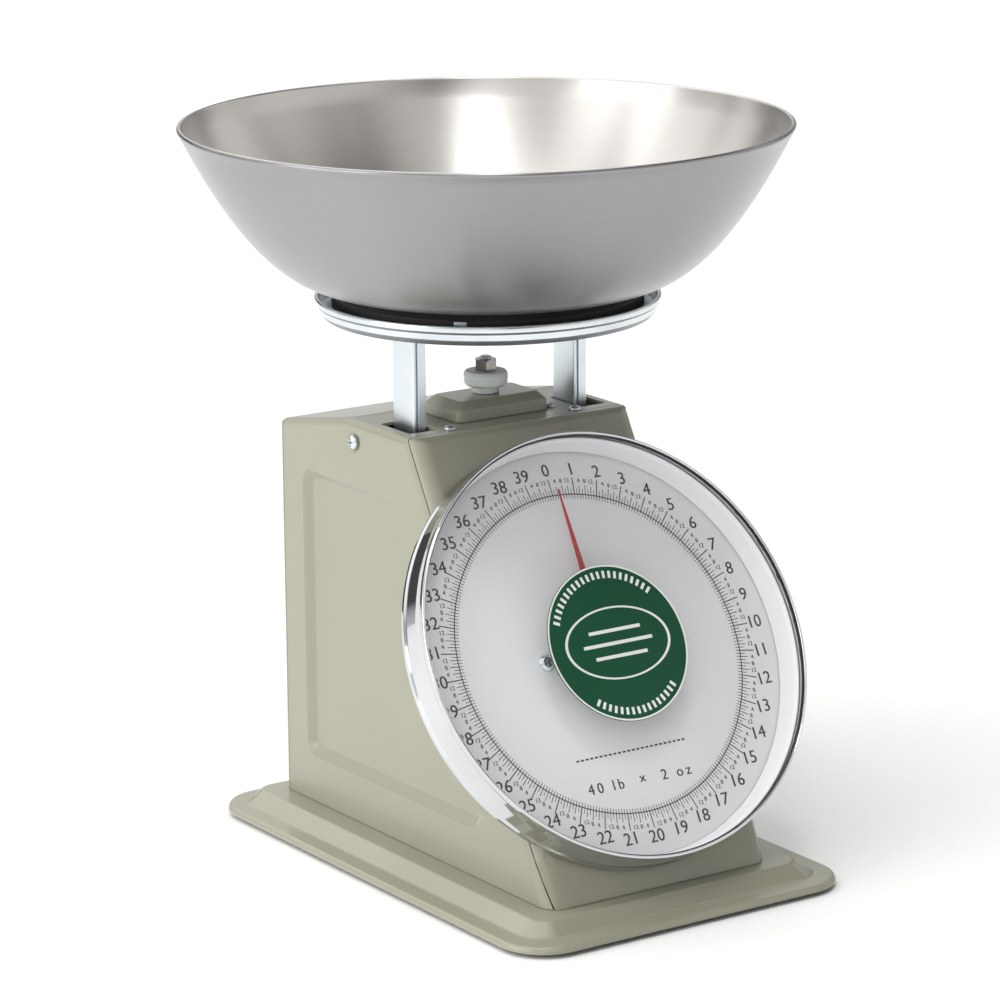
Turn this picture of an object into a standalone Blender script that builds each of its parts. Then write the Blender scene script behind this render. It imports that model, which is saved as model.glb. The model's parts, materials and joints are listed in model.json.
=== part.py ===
"""Dial kitchen scale: sprung platform, tilted dial with a rack-driven pointer, lift-off bowl.

Metres, +Z up, the dial faces -Y. The origin is under the middle of the outer box, on the
surface that the feet stand on.
"""
import math

import bmesh
import bpy
from mathutils import Matrix, Vector

# ---------------------------------------------------------------- driving dimensions
GAP = 0.0003  # clearance between pieces that touch

# base pan: a raised platform in a flat flange, on four feet
SEAM_Z = 0.012  # the platform's top, where the housing stands
BASE_SHEET = 0.0012
FLANGE_HALF_X = 0.098
FLANGE_FRONT_Y = -0.1625
FLANGE_BACK_Y = 0.1365
PLATFORM_INSET_X = 0.020
PLATFORM_INSET_Y = 0.0215
CHAMFER_INSET = 0.012
FLANGE_Z = SEAM_Z - 0.007
FLANGE_LIP_Z = SEAM_Z - 0.010
FOOT_X = 0.064
FOOT_FRONT_Y = -0.122
FOOT_BACK_Y = 0.096

# housing: side outline in Y and Z
HOUSING_HALF_X = 0.065
HOUSING_SHEET = 0.0014
AXIS_Y = 0.0125  # vertical axis of the platform and the bowl
BACK_Y = AXIS_Y + 0.0924
BACK_TOP_Z = SEAM_Z + 0.1941
BEND_Y = AXIS_Y + 0.0289
TOP_Z = SEAM_Z + 0.2058
FRONT_TOP_Y = AXIS_Y - 0.0308
KNEE_Y = AXIS_Y - 0.1345
KNEE_Z = SEAM_Z + 0.024
FRONT_BOTTOM_Y = AXIS_Y - 0.1445
FRONT_CORNER_RADIUS = 0.009
TOP_CORNER_RADIUS = 0.004
FRONT_PANEL_RETURN = 0.005
REAR_COVER_RETURN = 0.0035
POST_SLOT_X = (0.0425, 0.0580)
POST_SLOT_Y = (AXIS_Y - 0.018, AXIS_Y + 0.009)
SIDE_SCREW = (AXIS_Y + 0.0223, SEAM_Z + 0.1952)  # Y and Z
TOP_SCREWS = [(-0.037, AXIS_Y - 0.021), (0.037, AXIS_Y - 0.021)]  # X and Y
REAR_SCREWS = [(-0.055, BACK_TOP_Z - 0.014), (0.055, BACK_TOP_Z - 0.014)]  # X and Z
SCREW_HOLE_RADIUS = 0.0018

# dial: heights are measured forwards from the dial plate's face
DIAL_TILT = math.radians(29.8)  # how far the dial leans back
DIAL_Y = AXIS_Y - 0.0944
DIAL_Z = SEAM_Z + 0.1046
HOUSING_FACE_H = -0.0048
BEZEL_RADIUS = 0.1065
BEZEL_FRONT_H = 0.0181
BEZEL_OPENING = 0.1010
PAN_RADIUS = 0.1046
PLATE_RADIUS = 0.1029
DIAL_SHEET = 0.0014
WINDOW_H = (0.0133, 0.0158)
LABEL_RADIUS = 0.039
POINTER_LENGTH = 0.0815
POINTER_H = 0.0060
PLATE_SCREW_X = 0.032

# movement behind the dial: a twelve-tooth pinion driven by a rack
MODULE = 0.00045
PINION_TEETH = 12
PRESSURE_ANGLE = math.radians(20)
ADDENDUM = 0.6 * MODULE
DEDENDUM = 1.0 * MODULE
FLANK_CLEARANCE = 0.00007
PITCH_RADIUS = MODULE * PINION_TEETH / 2
RACK_TRAVEL = 2 * math.pi * PITCH_RADIUS  # one turn of the pointer
PLATFORM_TRAVEL = RACK_TRAVEL * math.cos(DIAL_TILT)
RACK_H = -0.0240
RACK_THICKNESS = 0.0036
RACK_BACK_X = PITCH_RADIUS + 0.0045
RACK_TOP = 0.0220  # along the dial, from the pinion's axis
RACK_TAIL = -0.0460
CROSSHEAD_ALONG = RACK_TAIL + 0.004
RACK_TEETH = 15
SHAFT_RADIUS = 0.0015
MOVEMENT_PLATES_H = (-0.0076, -0.0330)
MOVEMENT_PLATE_HALF = (0.026, 0.020)
PILLARS = [(-0.021, -0.015), (-0.021, 0.015), (0.021, 0.015)]

# load frame: two posts, a bridge under the springs, and the platform
POST_OUTER_X = 0.0515
POST_DEPTH = 0.019
POST_FLANGE = 0.008
POST_SHEET = 0.0015
POST_Y = AXIS_Y - 0.002
POST_BOTTOM_Z = 0.056
BRIDGE_Z = (0.060, 0.072)
BRIDGE_BOLT_Z = sum(BRIDGE_Z) / 2
ARM_X = RACK_BACK_X + 0.0020
ARM_SHEET = 0.0020
STRIP_SHEET = 0.0012
PLATFORM_RADIUS = 0.085
PLATFORM_LOW_Z = SEAM_Z + 0.2558
PLATFORM_HIGH_Z = SEAM_Z + 0.2665
PLATFORM_SHEET = 0.0012
CROSS_Z = (SEAM_Z + 0.2505, SEAM_Z + 0.2565)
CROSS_HALF_X = POST_OUTER_X + 0.006
CROSS_HALF_Y = 0.012
SEAT_RING_RADII = (0.0600, 0.0765)

# bowl
BOWL_RADIUS = 0.150
BOWL_BASE_RADIUS = 0.073
BOWL_BASE_Z = SEAM_Z + 0.270
BOWL_RIM_Z = SEAM_Z + 0.3478
BOWL_SHEET = 0.0010
RIM_BEAD = 0.0014

# zero adjuster and springs
STUD_Y = AXIS_Y + 0.0025
STUD_RADIUS = 0.0030
WHEEL_RADIUS = 0.011
WHEEL_Z = (SEAM_Z + 0.2187, SEAM_Z + 0.2246)
COVER_HEIGHT = 0.0095
COVER_HALF_X = 0.0275
COVER_HALF_Y = 0.0165
HANGER_Z = (0.186, 0.192)
HANGER_HALF_X = 0.027
CHASSIS_HALF_X = 0.0385
CHASSIS_HALF_Y = 0.027
CHASSIS_BOTTOM_Z = 0.170
SPRING_X = 0.020
SPRING_RADIUS = 0.0075
SPRING_WIRE = 0.0020
SPRING_TURNS = 11

# check lever behind the load frame
LEVER_X = 0.026
LEVER_Z = 0.066
LEVER_PIVOT_Y = AXIS_Y + 0.0675
LEVER_LENGTH = 0.052
CLEVIS_Y = LEVER_PIVOT_Y - LEVER_LENGTH
PIN_RADIUS = 0.0015

# ---------------------------------------------------------------- scene and materials
for old in list(bpy.data.objects):
    bpy.data.objects.remove(old, do_unlink=True)

PARTS = bpy.data.collections.new("dial_kitchen_scale")
CUTTERS = bpy.data.collections.new("cutters")
bpy.context.scene.collection.children.link(PARTS)
bpy.context.scene.collection.children.link(CUTTERS)


def new_material(name, colour, roughness, metallic=0.0, alpha=1.0):
    """A Principled material with the piece's plain colour."""
    material = bpy.data.materials.new(name)
    material.use_nodes = True
    shader = material.node_tree.nodes["Principled BSDF"]
    shader.inputs["Base Color"].default_value = (*colour, 1.0)
    shader.inputs["Roughness"].default_value = roughness
    shader.inputs["Metallic"].default_value = metallic
    shader.inputs["Alpha"].default_value = alpha
    return material


ENAMEL = new_material("enamel", (0.36, 0.36, 0.27), 0.25)
CHROME = new_material("chrome", (0.80, 0.80, 0.82), 0.08, 1.0)
ZINC = new_material("zinc_plate", (0.66, 0.70, 0.74), 0.28, 1.0)
STAINLESS = new_material("stainless", (0.62, 0.61, 0.60), 0.22, 1.0)
BRASS = new_material("brass", (0.70, 0.52, 0.22), 0.35, 1.0)
SPRING_STEEL = new_material("spring_steel", (0.35, 0.36, 0.38), 0.35, 1.0)
BLACK_RUBBER = new_material("black_rubber", (0.015, 0.015, 0.016), 0.6)
WHITE_PAINT = new_material("white_paint", (0.85, 0.86, 0.86), 0.4)
RED_PAINT = new_material("red_paint", (0.62, 0.03, 0.04), 0.4)
GREEN_LABEL = new_material("green_label", (0.01, 0.09, 0.035), 0.35)
NYLON = new_material("white_nylon", (0.75, 0.78, 0.76), 0.45)
CLEAR = new_material("clear_window", (0.95, 0.97, 0.97), 0.05, 0.0, 0.2)


# ---------------------------------------------------------------- modelling helpers
def link(obj, material=None, parent=None, collection=PARTS):
    """Put an object in its collection, with its material and parent."""
    collection.objects.link(obj)
    if material is not None:
        obj.data.materials.append(material)
    if parent is not None:
        obj.parent = parent
    return obj


def empty(name, location, rotation=(0.0, 0.0, 0.0)):
    """An empty on a joint's axis, for the pieces that turn or slide with it."""
    obj = bpy.data.objects.new(name, None)
    obj.location = location
    obj.rotation_euler = rotation
    return link(obj)


def mesh_object(name, bm, material, location=(0, 0, 0), rotation=(0, 0, 0), parent=None,
                collection=PARTS):
    """An object from a bmesh, shaded smooth except at its sharp edges."""
    mesh = bpy.data.meshes.new(name)
    bm.to_mesh(mesh)
    bm.free()
    mesh.shade_smooth()
    mesh.set_sharp_from_angle(angle=math.radians(35))
    obj = bpy.data.objects.new(name, mesh)
    obj.location = location
    obj.rotation_euler = rotation
    return link(obj, material, parent, collection)


def box(name, low, high, material, bevel=0.0, parent=None, rotation=(0, 0, 0), collection=PARTS):
    """A box between two corners, in its parent's frame, with optional rounded edges."""
    bm = bmesh.new()
    bmesh.ops.create_cube(bm, size=1.0)
    size = Vector(high) - Vector(low)
    bmesh.ops.scale(bm, vec=size, verts=bm.verts)
    middle = (Vector(high) + Vector(low)) / 2
    obj = mesh_object(name, bm, material, middle, rotation, parent, collection)
    if bevel:
        modifier = obj.modifiers.new("rounded", "BEVEL")
        modifier.width = bevel
        modifier.segments = 2
    return obj


def turned(name, profile, material, location=(0, 0, 0), rotation=(0, 0, 0), parent=None,
           steps=24, closed=False, collection=PARTS):
    """A turned piece: (radius, z) points that run down the outer side, spun about Z."""
    bm = bmesh.new()
    points = [bm.verts.new((r, 0, z)) for r, z in profile]
    for first, second in zip(points, points[1:]):
        bm.edges.new((first, second))
    if closed:
        bm.edges.new((points[-1], points[0]))
    obj = mesh_object(name, bm, material, location, rotation, parent, collection)
    screw = obj.modifiers.new("turned", "SCREW")
    screw.steps = steps
    screw.render_steps = steps
    screw.use_merge_vertices = True
    screw.merge_threshold = 0.00001
    screw.use_smooth_shade = False
    return obj


def disc(name, radius, z_low, z_high, material, hole=0.0, **options):
    """A round plate, with an optional hole through its middle."""
    if hole:
        profile = [(radius, z_high), (radius, z_low), (hole, z_low), (hole, z_high)]
        return turned(name, profile, material, closed=True, **options)
    profile = [(0, z_high), (radius, z_high), (radius, z_low), (0, z_low)]
    return turned(name, profile, material, **options)


def rectangle(x0, x1, y0, y1, radius=0.0, steps=3):
    """A rectangle's corner points, counter-clockwise, with rounded corners."""
    if not radius:
        return [(x0, y0), (x1, y0), (x1, y1), (x0, y1)]
    points = []
    corners = [(x1 - radius, y0 + radius, -90), (x1 - radius, y1 - radius, 0),
               (x0 + radius, y1 - radius, 90), (x0 + radius, y0 + radius, 180)]
    for x, y, start in corners:
        for step in range(steps + 1):
            angle = math.radians(start + 90 * step / steps)
            points.append((x + radius * math.cos(angle), y + radius * math.sin(angle)))
    return points


def circle(x, y, radius, steps=16):
    """Points round a circle."""
    turn = 2 * math.pi / steps
    return [(x + radius * math.cos(turn * k), y + radius * math.sin(turn * k)) for k in range(steps)]


def plate(name, outlines, thickness, material, location=(0, 0, 0), rotation=(0, 0, 0), parent=None):
    """A flat piece: the first outline filled, the others cut out, thickened about z = 0."""
    curve = bpy.data.curves.new(name, "CURVE")
    curve.dimensions = "2D"
    curve.fill_mode = "BOTH"
    curve.extrude = thickness / 2
    for outline in outlines:
        spline = curve.splines.new("POLY")
        spline.points.add(len(outline) - 1)
        for point, (x, y) in zip(spline.points, outline):
            point.co = (x, y, 0, 1)
        spline.use_cyclic_u = True
    obj = bpy.data.objects.new(name, curve)
    obj.location = location
    obj.rotation_euler = rotation
    return link(obj, material, parent)


def extrusion(name, outline, low, high, material, along_x=False, collection=PARTS):
    """A block from an outline in X and Y raised along Z, or from one in Y and Z run along X."""
    bm = bmesh.new()
    if along_x:
        corners = [bm.verts.new((low, y, z)) for y, z in outline]
        run = (high - low, 0, 0)
    else:
        corners = [bm.verts.new((x, y, low)) for x, y in outline]
        run = (0, 0, high - low)
    walls = bmesh.ops.extrude_face_region(bm, geom=[bm.faces.new(corners)])
    moved = [item for item in walls["geom"] if isinstance(item, bmesh.types.BMVert)]
    bmesh.ops.translate(bm, verts=moved, vec=run)
    bmesh.ops.recalc_face_normals(bm, faces=bm.faces)
    return mesh_object(name, bm, material, collection=collection)


def wire(name, points, radius, material, location):
    """A round wire along a line of points."""
    curve = bpy.data.curves.new(name, "CURVE")
    curve.dimensions = "3D"
    curve.bevel_depth = radius
    curve.bevel_resolution = 1
    curve.use_fill_caps = True
    spline = curve.splines.new("POLY")
    spline.points.add(len(points) - 1)
    for point, co in zip(spline.points, points):
        point.co = (*co, 1)
    obj = bpy.data.objects.new(name, curve)
    obj.location = location
    return link(obj, material)


def loft(name, rings, material, sheet=0.0, **options):
    """A skin over rings with equal point counts, capped at both ends, or a sheet under it."""
    bm = bmesh.new()
    rows = [[bm.verts.new(point) for point in ring] for ring in rings]
    bm.faces.new(rows[0])
    for upper, lower in zip(rows, rows[1:]):
        for k in range(len(upper)):
            after = (k + 1) % len(upper)
            bm.faces.new((upper[k], lower[k], lower[after], upper[after]))
    if not sheet:
        bm.faces.new(list(reversed(rows[-1])))
    obj = mesh_object(name, bm, material, **options)
    if sheet:
        solid = obj.modifiers.new("sheet", "SOLIDIFY")
        solid.thickness = sheet
        solid.offset = -1
        solid.use_even_offset = True
    return obj


def cut(obj, *cutters, operation="DIFFERENCE"):
    """Boolean modifiers that take each cutter from a mesh object, or keep what is inside it."""
    for cutter in cutters:
        cutter.hide_render = True
        cutter.display_type = "WIRE"
        modifier = obj.modifiers.new(cutter.name, "BOOLEAN")
        modifier.operation = operation
        modifier.solver = "EXACT"
        modifier.object = cutter
    return obj


def drill(name, x, y, z, radius, length, rotation=(0, 0, 0), parent=None, steps=16):
    """A round cutter centred on a point, along its own Z."""
    return disc(name, radius, -length / 2, length / 2, None, location=(x, y, z), rotation=rotation,
                parent=parent, steps=steps, collection=CUTTERS)


def slab(name, low, high, rotation=(0, 0, 0), parent=None):
    """A box cutter."""
    return box(name, low, high, None, parent=parent, rotation=rotation, collection=CUTTERS)


def pan_head_screw(name, location, rotation, parent=None, radius=0.0030, shank=0.0014, length=0.006):
    """A plain pan-head screw: the head stands on z = 0 and the shank runs down."""
    head = radius * 0.62
    profile = [(0, head), (radius * 0.66, head), (radius, head * 0.45), (radius, 0.0),
               (shank, 0.0), (shank, -length), (0, -length)]
    return turned(name, profile, ZINC, location, rotation, parent, steps=12)


ALONG_X = (0, math.radians(90), 0)
YZ_PLANE = (math.radians(90), 0, math.radians(90))
XZ_PLANE = (math.radians(90), 0, 0)


# ---------------------------------------------------------------- base and feet
def rounded_ring(half_x, front_y, back_y, radius, z):
    """A rounded rectangle at a height, symmetric in X."""
    return [(x, y, z) for x, y in rectangle(-half_x, half_x, front_y, back_y, radius, 4)]


def make_base():
    """A pressed pan: raised platform, sloped shoulder, flat flange and a turned-down lip."""
    inset_x = PLATFORM_INSET_X
    inset_y = PLATFORM_INSET_Y
    rings = [
        rounded_ring(FLANGE_HALF_X - inset_x, FLANGE_FRONT_Y + inset_y, FLANGE_BACK_Y - inset_y,
                     0.009, SEAM_Z),
        rounded_ring(FLANGE_HALF_X - CHAMFER_INSET, FLANGE_FRONT_Y + CHAMFER_INSET,
                     FLANGE_BACK_Y - CHAMFER_INSET, 0.014, FLANGE_Z),
        rounded_ring(FLANGE_HALF_X - 0.001, FLANGE_FRONT_Y + 0.001, FLANGE_BACK_Y - 0.001,
                     0.023, FLANGE_Z),
        rounded_ring(FLANGE_HALF_X, FLANGE_FRONT_Y, FLANGE_BACK_Y, 0.024, FLANGE_LIP_Z),
    ]
    loft("base_plate", rings, ENAMEL, sheet=BASE_SHEET)
    top = SEAM_Z - BASE_SHEET - GAP
    profile = [(0, top), (0.0070, top), (0.0082, 0.0), (0, 0.0)]
    for side, x in (("left", -FOOT_X), ("right", FOOT_X)):
        for end, y in (("front", FOOT_FRONT_Y), ("back", FOOT_BACK_Y)):
            turned(f"foot_{end}_{side}", profile, BLACK_RUBBER, (x, y, 0), steps=16)


# ---------------------------------------------------------------- housing
DIAL_TURN = math.radians(90) - DIAL_TILT
DIAL_AXIS = empty("dial_axis", (0, DIAL_Y, DIAL_Z), (DIAL_TURN, 0, 0))


def side_outline(inset=0.0, floor=0.0):
    """The housing's side outline in Y and Z, moved inwards by inset on its sloped sides."""
    slope = math.tan(DIAL_TILT)
    drop = inset / math.cos(DIAL_TILT)
    front_top_y = FRONT_TOP_Y + drop - inset * slope
    return [
        (BACK_Y - inset, SEAM_Z + floor),
        (BACK_Y - inset, BACK_TOP_Z - inset),
        (BEND_Y, TOP_Z - inset),
        (front_top_y, TOP_Z - inset),
        (KNEE_Y + inset * 1.15, KNEE_Z),
        (FRONT_BOTTOM_Y + inset * 1.15, SEAM_Z + floor),
    ]


def round_edges(obj, chooser, radius, segments):
    """Round the edges of a block that chooser picks from their two end points."""
    bm = bmesh.new()
    bm.from_mesh(obj.data)
    edges = [edge for edge in bm.edges if chooser(edge.verts[0].co, edge.verts[1].co)]
    bmesh.ops.bevel(bm, geom=edges, offset=radius, offset_type="OFFSET", segments=segments,
                    profile=0.5, affect="EDGES")
    bm.to_mesh(obj.data)
    bm.free()
    obj.data.shade_smooth()
    obj.data.set_sharp_from_angle(angle=math.radians(35))


def is_front_corner(a, b):
    """True for the sloping edges between the front and the sides."""
    on_side = abs(a.x - b.x) < 1e-6
    return on_side and max(a.y, b.y) < FRONT_TOP_Y + 0.002 and abs(a.z - b.z) > 0.01


def is_top_corner(a, b):
    """True for the edges between the top and the sides."""
    return abs(a.x - b.x) < 1e-6 and min(a.z, b.z) > BACK_TOP_Z - 0.002


def casing_block(name):
    """The housing's outer form as one block, with rounded corners."""
    block = extrusion(name, side_outline(), -HOUSING_HALF_X, HOUSING_HALF_X, ENAMEL, True)
    round_edges(block, is_front_corner, FRONT_CORNER_RADIUS, 4)
    round_edges(block, is_top_corner, TOP_CORNER_RADIUS, 2)
    return block


def make_housing():
    """The housing in three pieces cut from one hollow form: shell, front panel, rear cover."""
    half_x = HOUSING_HALF_X - HOUSING_SHEET
    hollow = extrusion("housing_hollow", side_outline(HOUSING_SHEET, -0.01), -half_x, half_x,
                       None, True, CUTTERS)
    round_edges(hollow, is_front_corner, FRONT_CORNER_RADIUS - HOUSING_SHEET, 4)
    round_edges(hollow, is_top_corner, TOP_CORNER_RADIUS - HOUSING_SHEET, 2)
    reach = 0.3
    face_y = HOUSING_FACE_H - FRONT_PANEL_RETURN
    front = slab("front_zone", (-reach, -reach, face_y), (reach, reach, reach),
                 (DIAL_TURN, 0, 0))
    centre = DIAL_AXIS.location
    normal = Vector((0, -math.cos(DIAL_TILT), math.sin(DIAL_TILT)))
    front.location = centre + normal * (face_y + reach) / 2
    behind = slab("behind_front_zone", (-reach, -reach, face_y - GAP), (reach, reach, reach),
                  (DIAL_TURN, 0, 0))
    behind.location = centre + normal * (face_y - GAP + reach) / 2
    rear_y = BACK_Y - REAR_COVER_RETURN
    rear = slab("rear_zone", (-reach, rear_y, -reach), (reach, reach, reach))
    rear_wide = slab("rear_zone_wide", (-reach, rear_y - GAP, -reach), (reach, reach, reach))
    floor = slab("floor_zone", (-reach, -reach, -reach), (reach, reach, SEAM_Z + GAP))

    shell = cut(casing_block("housing_shell"), hollow, floor, behind, rear_wide)
    deep = 0.01
    for side, sign in (("left", -1), ("right", 1)):
        x0, x1 = sorted(sign * x for x in POST_SLOT_X)
        cut(shell, slab(f"post_slot_{side}", (x0, POST_SLOT_Y[0], TOP_Z - deep),
                        (x1, POST_SLOT_Y[1], TOP_Z + deep)))
        cut(shell, drill(f"side_screw_hole_{side}", sign * HOUSING_HALF_X, *SIDE_SCREW,
                         SCREW_HOLE_RADIUS, deep, ALONG_X, steps=12))
    cut(shell, drill("stud_hole", 0, STUD_Y, TOP_Z, STUD_RADIUS + 0.0008, deep))
    for number, (x, y) in enumerate(TOP_SCREWS):
        cut(shell, drill(f"top_screw_hole_{number}", x, y, TOP_Z, SCREW_HOLE_RADIUS, deep,
                         steps=12))

    panel = cut(casing_block("front_panel"), hollow, floor)
    cut(panel, front, operation="INTERSECT")
    cut(panel, drill("movement_hole", 0, 0, HOUSING_FACE_H, 0.016, 0.02, parent=DIAL_AXIS,
                     steps=24))

    cover = cut(casing_block("rear_cover"), hollow, floor)
    cut(cover, rear, operation="INTERSECT")
    for number, (x, z) in enumerate(REAR_SCREWS):
        cut(cover, drill(f"rear_screw_hole_{number}", x, BACK_Y, z, SCREW_HOLE_RADIUS, deep,
                         XZ_PLANE, steps=12))


def make_housing_fasteners():
    """Screws in the top, the sides and the rear cover."""
    for number, (x, y) in enumerate(TOP_SCREWS, 1):
        pan_head_screw(f"top_screw_{number}", (x, y, TOP_Z + GAP), (0, 0, 0))
    for side, sign in (("left", -1), ("right", 1)):
        place = (sign * (HOUSING_HALF_X + GAP), *SIDE_SCREW)
        pan_head_screw(f"side_screw_{side}", place, (0, sign * math.pi / 2, 0), length=0.005)
    for number, (x, z) in enumerate(REAR_SCREWS, 1):
        pan_head_screw(f"rear_screw_{number}", (x, BACK_Y + GAP, z), (-math.pi / 2, 0, 0))


# ---------------------------------------------------------------- dial
def make_dial():
    """Pan, plate, spacer ring, window, bezel and label, stacked along the dial's axis."""
    at_dial = {"parent": DIAL_AXIS}
    wall = PAN_RADIUS
    pan_back = HOUSING_FACE_H + GAP
    pan_front = 0.0110
    rim_back = -0.0032
    rim_floor = rim_back + DIAL_SHEET
    well = 0.052
    bore = 0.009
    pan = [(wall, pan_front), (wall, rim_back + 0.0010), (wall - 0.0022, rim_back),
           (well + 0.006, rim_back), (well, pan_back), (bore, pan_back),
           (bore, pan_back + DIAL_SHEET), (well - 0.0005, pan_back + DIAL_SHEET),
           (well + 0.0055, rim_floor), (wall - 0.0030, rim_floor),
           (wall - 0.0013, rim_floor + 0.0010), (wall - 0.0013, pan_front)]
    turned("dial_pan", pan, WHITE_PAINT, steps=48, closed=True, **at_dial)
    holes = [circle(side * PLATE_SCREW_X, 0, 0.0017, 12) for side in (-1, 1)]
    plate("dial_plate", [circle(0, 0, PLATE_RADIUS, 48), circle(0, 0, 0.0045), *holes], 0.0010,
          WHITE_PAINT, (0, 0, -0.0005), **at_dial)
    for side, x in (("left", -PLATE_SCREW_X), ("right", PLATE_SCREW_X)):
        pan_head_screw(f"dial_screw_{side}", (x, 0, GAP), (0, 0, 0), DIAL_AXIS, 0.0034,
                       length=0.0029)
    disc("spacer_ring", PLATE_RADIUS, GAP, WINDOW_H[0] - GAP, WHITE_PAINT,
         hole=BEZEL_OPENING - 0.0010, steps=48, **at_dial)
    disc("window", PAN_RADIUS, *WINDOW_H, CLEAR, steps=48, **at_dial)
    disc("window_label", LABEL_RADIUS, WINDOW_H[1] + GAP, WINDOW_H[1] + 0.0008, GREEN_LABEL,
         steps=32, **at_dial)
    lip = WINDOW_H[1] + GAP
    bead = 0.0021
    outer = BEZEL_RADIUS
    inner = BEZEL_OPENING
    front = BEZEL_FRONT_H
    skirt = -0.0036
    bezel = [(inner, lip), (inner, lip + 0.0009), (inner + 0.0008, front - 0.0003),
             (inner + bead, front), (outer - bead, front), (outer - 0.0006, front - 0.0006),
             (outer, front - bead), (outer, skirt), (outer - DIAL_SHEET, skirt),
             (outer - DIAL_SHEET, lip)]
    turned("bezel", bezel, CHROME, steps=48, closed=True, **at_dial)


# ---------------------------------------------------------------- movement
POINTER_AXIS = empty("pointer_axis", (0, 0, 0))
POINTER_AXIS.parent = DIAL_AXIS
RACK_SLIDE = empty("rack_slide_axis", (0, 0, RACK_H))
RACK_SLIDE.parent = DIAL_AXIS


def pinion_outline():
    """An involute pinion, with a gap and not a tooth at +X, so that a rack tooth fits there."""
    base_radius = PITCH_RADIUS * math.cos(PRESSURE_ANGLE)
    root_radius = PITCH_RADIUS - DEDENDUM
    tip_radius = PITCH_RADIUS + ADDENDUM
    involute = math.tan(PRESSURE_ANGLE) - PRESSURE_ANGLE
    half_tooth = math.pi / (2 * PINION_TEETH) - FLANK_CLEARANCE / PITCH_RADIUS
    flank = [(root_radius, half_tooth + involute)]
    for step in range(4):
        radius = base_radius + (tip_radius - base_radius) * step / 3
        roll = math.acos(base_radius / radius)
        flank.append((radius, half_tooth + involute - (math.tan(roll) - roll)))
    points = []
    for tooth in range(PINION_TEETH):
        middle = 2 * math.pi * (tooth + 0.5) / PINION_TEETH
        for radius, angle in flank:
            points.append((radius * math.cos(middle - angle), radius * math.sin(middle - angle)))
        for radius, angle in reversed(flank):
            points.append((radius * math.cos(middle + angle), radius * math.sin(middle + angle)))
    return points


def rack_outline():
    """A rack on the pinion's +X side: teeth towards -X, from the lowest in mesh upwards."""
    pitch = math.pi * MODULE
    lean = math.tan(PRESSURE_ANGLE)
    half = pitch / 4 - FLANK_CLEARANCE
    tip_x = PITCH_RADIUS - ADDENDUM
    root_x = PITCH_RADIUS + DEDENDUM
    points = [(RACK_BACK_X, RACK_TAIL), (RACK_BACK_X, RACK_TOP), (root_x, RACK_TOP)]
    for tooth in range(RACK_TEETH - 2, -2, -1):
        middle = tooth * pitch
        points.append((root_x, middle + half + DEDENDUM * lean))
        points.append((tip_x, middle + half - ADDENDUM * lean))
        points.append((tip_x, middle - half + ADDENDUM * lean))
        points.append((root_x, middle - half - DEDENDUM * lean))
    points.append((root_x, RACK_TAIL))
    return list(reversed(points))


def make_movement():
    """Two plates with three pillars hold the pointer's shaft and guide the rack."""
    front_h, rear_h = MOVEMENT_PLATES_H
    sheet = 0.0014
    half_x, half_y = MOVEMENT_PLATE_HALF
    bush_hole = circle(0, 0, 0.0040, 16)
    outline = rectangle(-half_x, half_x, -half_y, half_y, 0.004)
    plate("movement_front_plate", [outline, bush_hole], sheet, ZINC, (0, 0, front_h),
          parent=DIAL_AXIS)
    plate("movement_rear_plate", [outline, bush_hole], sheet, ZINC, (0, 0, rear_h),
          parent=DIAL_AXIS)
    high = front_h - sheet / 2 - GAP
    low = rear_h + sheet / 2 + GAP
    for number, (x, y) in enumerate(PILLARS, 1):
        disc(f"movement_pillar_{number}", 0.0025, low, high, BRASS, location=(x, y, 0),
             parent=DIAL_AXIS, steps=12)
    for end, middle in (("front", front_h), ("rear", rear_h)):
        disc(f"{end}_bush", 0.0037, middle - 0.0012, middle + 0.0012, BRASS,
             hole=SHAFT_RADIUS + 0.00015, parent=DIAL_AXIS, steps=16)
    guide_low = (RACK_BACK_X + GAP, -0.005, low)
    box("rack_guide", guide_low, (RACK_BACK_X + 0.0045, 0.005, RACK_H + 0.003), BRASS,
        parent=DIAL_AXIS)


def make_pointer():
    """Shaft, pinion, hub and pointer, which turn together."""
    disc("pointer_shaft", SHAFT_RADIUS, MOVEMENT_PLATES_H[1] - 0.003, POINTER_H - 0.0012,
         SPRING_STEEL, parent=POINTER_AXIS, steps=16)
    bore = circle(0, 0, SHAFT_RADIUS + 0.00008, 16)
    plate("pinion", [pinion_outline(), bore], RACK_THICKNESS - 0.0004, BRASS, (0, 0, RACK_H),
          parent=POINTER_AXIS)
    disc("pointer_hub", 0.0040, POINTER_H - 0.0022, POINTER_H - GAP, BRASS,
         hole=SHAFT_RADIUS + 0.00008, parent=POINTER_AXIS, steps=16)
    side = [(0.0036, -0.018), (0.0031, 0.0), (0.0021, 0.036), (0.00045, POINTER_LENGTH - 0.0004)]
    blade = side + [(0, POINTER_LENGTH)] + [(-x, y) for x, y in reversed(side)]
    sheet = 0.0006
    plate("pointer", [blade], sheet, RED_PAINT, (0, 0, POINTER_H + sheet / 2),
          parent=POINTER_AXIS)


def make_rack():
    """The rack and the crosshead pin at its tail, which rides in the compensator's slot."""
    plate("rack", [rack_outline()], RACK_THICKNESS, BRASS, parent=RACK_SLIDE)
    disc("crosshead_pin", PIN_RADIUS, RACK_BACK_X + GAP, RACK_BACK_X + 0.0060, SPRING_STEEL,
         location=(0, CROSSHEAD_ALONG, 0), rotation=ALONG_X, parent=RACK_SLIDE, steps=12)


# ---------------------------------------------------------------- load frame
LOAD_AXIS = empty("load_axis", (0, AXIS_Y, 0))


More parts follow.
